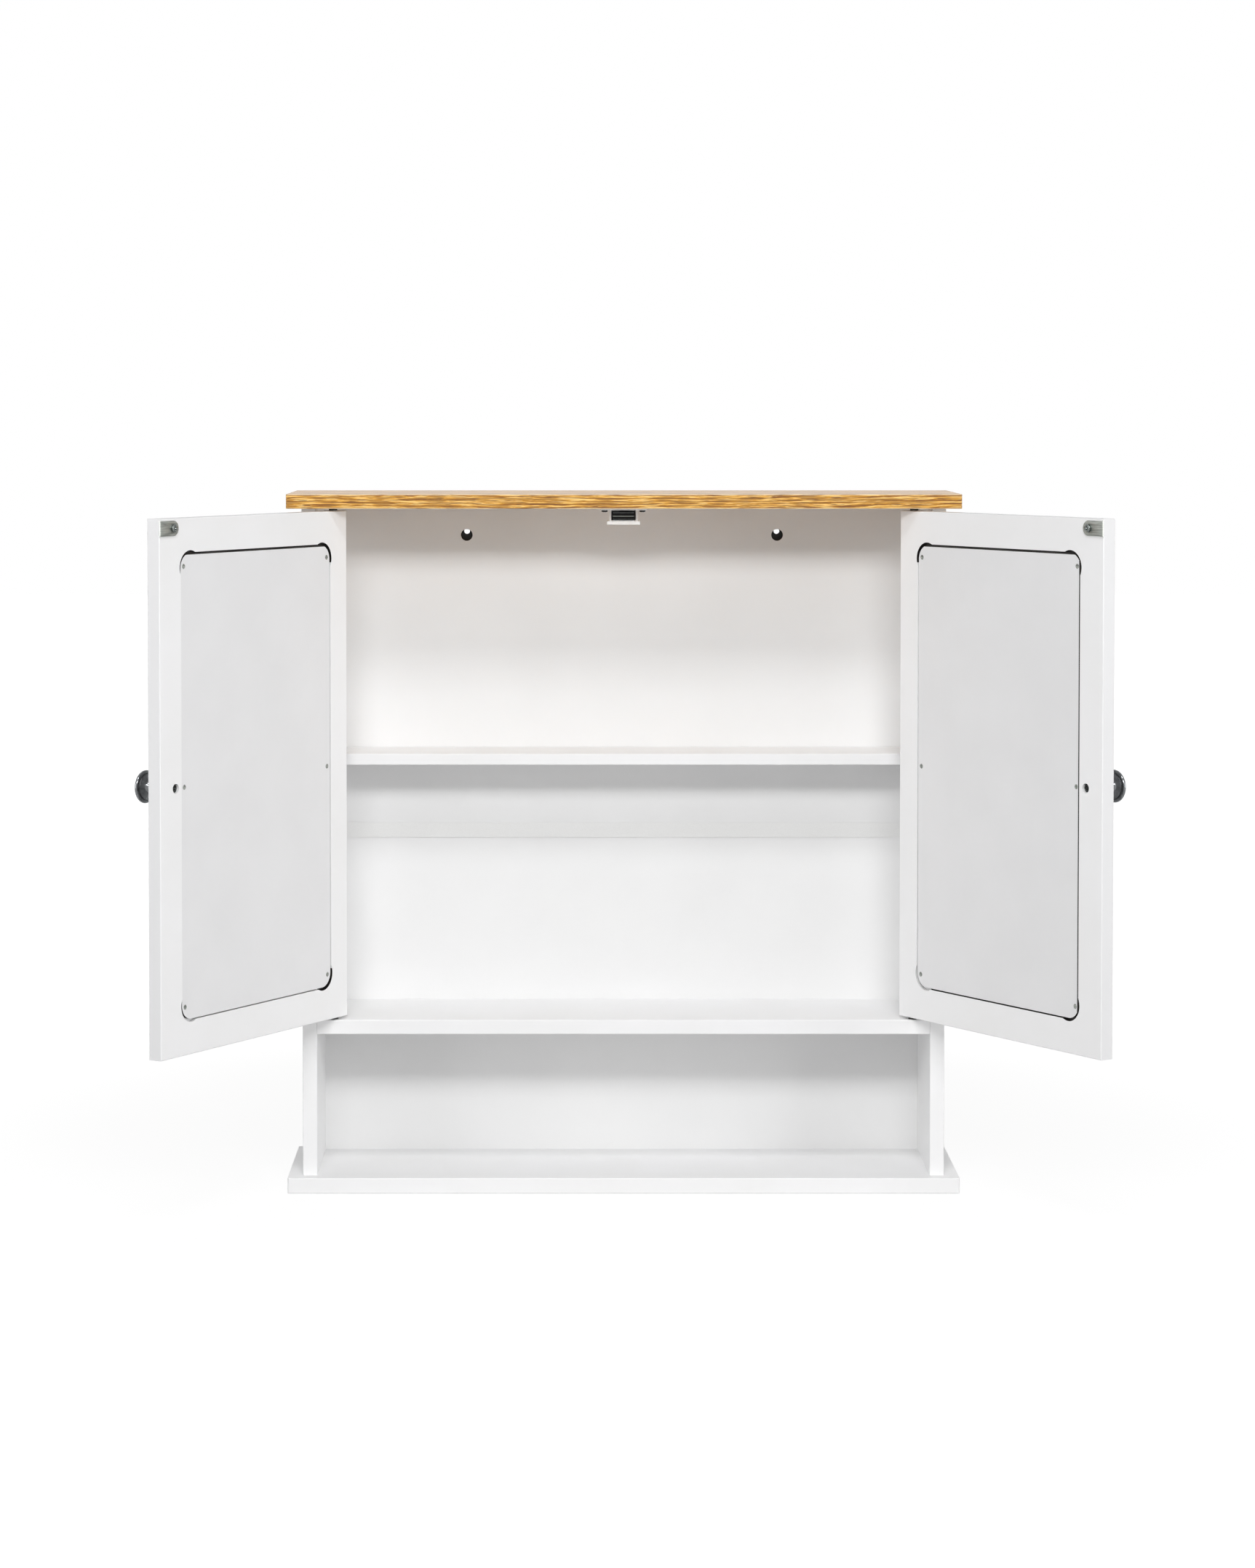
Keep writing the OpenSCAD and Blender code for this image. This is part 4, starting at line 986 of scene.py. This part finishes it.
for side, hand in hands.items():
    old = drawn("strike_plate", side)
    low, high = old.min(0), old.max(0)
    half, thick = (high[2] - low[2]) / 2, high[1] - low[1]
    hole = low + (half, 0, half)
    reach = high[0] - hole[0]
    corner = math.atan2(half, reach)
    even = np.linspace(0.001, 2 * math.pi, plate_sides, endpoint=False)
    angle = np.sort(np.concatenate([even, [corner, 2 * math.pi - corner]]))
    cos, sin = np.cos(angle), np.sin(angle)
    outer = np.where(cos > 0, np.minimum(half / np.abs(sin), reach / np.abs(cos)), half)
    rolled = arc((0, thick - roll_mm), roll_mm, 20, 90, 4) - (roll_mm, 0)
    rows = [(0, hole_r, 0), (1, 0, 0), (1, 0, thick - roll_mm)]
    rows += [(1, out, up) for out, up in rolled]
    rows += [(0, hole_r + out, thick - down) for out, down in hole_rim]
    share, extra, up = (column[:, None] for column in np.array(rows).T)
    radius = share * outer + extra
    rings = np.stack([hole[0] + radius * cos, np.repeat(low[1] + up, len(angle), 1),
                      hole[2] + radius * sin], -1)
    skin(hand + "_strike_plate", [hang(rings, side)], crisp_deg=50, loop=True)

# %% [markdown]
# ## Magnetic catch
# The catch under the top board is a moulding. It has no sharp edge, because a sharp edge in the
# mould would wear, and its window for the magnet has a small lead-in. The body, the ledge below
# it and the two screw ears are each a stack of rounded rectangles, and one formula gives them all.

# %% Rounded rectangles
def rounded(width, height, radius, count=48):
    """A quarter circle of the radius in each corner: its middle lies half the width and height
    from the centre, less the radius."""
    angle = (np.arange(count) + 0.5) * 2 * math.pi / count
    cos, sin = np.cos(angle), np.sin(angle)
    return np.stack([np.sign(cos) * (width / 2 - radius) + radius * cos,
                     np.sign(sin) * (height / 2 - radius) + radius * sin], -1)


def box_rings(middle_z, rows):
    """Each row is a place along Y, a width, a height, a corner radius and a rise. The rounded
    rectangle stands across Y."""
    flat = np.stack([rounded(wide, tall, radius) for _, wide, tall, radius, _ in rows])
    place, rise = (np.array(rows)[:, k, None] for k in (0, 4))
    return np.stack([flat[..., 0], np.repeat(place, flat.shape[1], 1),
                     middle_z + rise + flat[..., 1]], -1)


old = points_of("catch_housing") * 1000
(front, under), (back, ceiling) = old.min(0)[1:], old.max(0)[1:]
print("catch in mm:", old.min(0).round(2), "to", old.max(0).round(2))

# %% [markdown]
# The body and the ledge are stacked from back to front, and the ears downwards. The body's stack
# turns in at the front and goes back inside, which makes the window. The body stands a little
# back from the ledge and the ears, so no two faces share a plane, and each row below is a place,
# a width, a height, a corner radius and a rise.

# %% Catch housing
step, soft = 0.3, 0.5  # how far the body stands back, and the softness of the edges
face, rear = front + step, back - step
body_w, body_h = 24.0, ceiling - under - step
window_w, window_h, window_rise, window_wall = 20.2, 8.6, 0.95, 2.0
ledge_w, ledge_h = 27.6, 3.2
ear_w, ear_d, ear_t, ear_corner = 39.0, 10.0, 2.0, 3.0

body_rings = box_rings((under + step + ceiling) / 2, [
    (rear, body_w - 2 * soft, body_h - 2 * soft, 1.2, 0),
    (rear - soft, body_w, body_h, 1.5, 0),
    (face + soft, body_w, body_h, 1.5, 0),
    (face + 0.15 * soft, body_w - 0.7 * soft, body_h - 0.7 * soft, 1.3, 0),
    (face, body_w - 2 * soft, body_h - 2 * soft, 1.0, 0),
    (face, window_w + 1.4, window_h + 1.2, 0.9, window_rise),
    (face + 0.3, window_w + 0.4, window_h + 0.3, 0.5, window_rise),
    (face + 0.8, window_w, window_h, 0.3, window_rise),
    (rear - window_wall, window_w, window_h, 0.3, window_rise),
])
ledge_rings = box_rings(under + ledge_h / 2, [
    (back, ledge_w - 2 * soft, ledge_h - 1.6 * soft, 0.6, 0),
    (back - soft, ledge_w, ledge_h, 1.0, 0),
    (front + 0.6 * soft, ledge_w, ledge_h, 0.8, 0),
    (front, ledge_w - soft, ledge_h - 0.8 * soft, 0.6, 0),
])
ear = rounded(ear_w, ear_d, ear_corner)
share, level = np.array([(1, ceiling), (1, ceiling - ear_t + 0.4), (0.985, ceiling - ear_t + 0.1),
                         (0.95, ceiling - ear_t)]).T[:, :, None]
ear_rings = np.stack([share * ear[:, 0], front + ear_d / 2 + share * ear[:, 1],
                      np.repeat(level, len(ear), 1)], -1)
skin("catch_housing", [rings / 1000 for rings in (body_rings, ledge_rings, ear_rings)],
     crisp_deg=50)
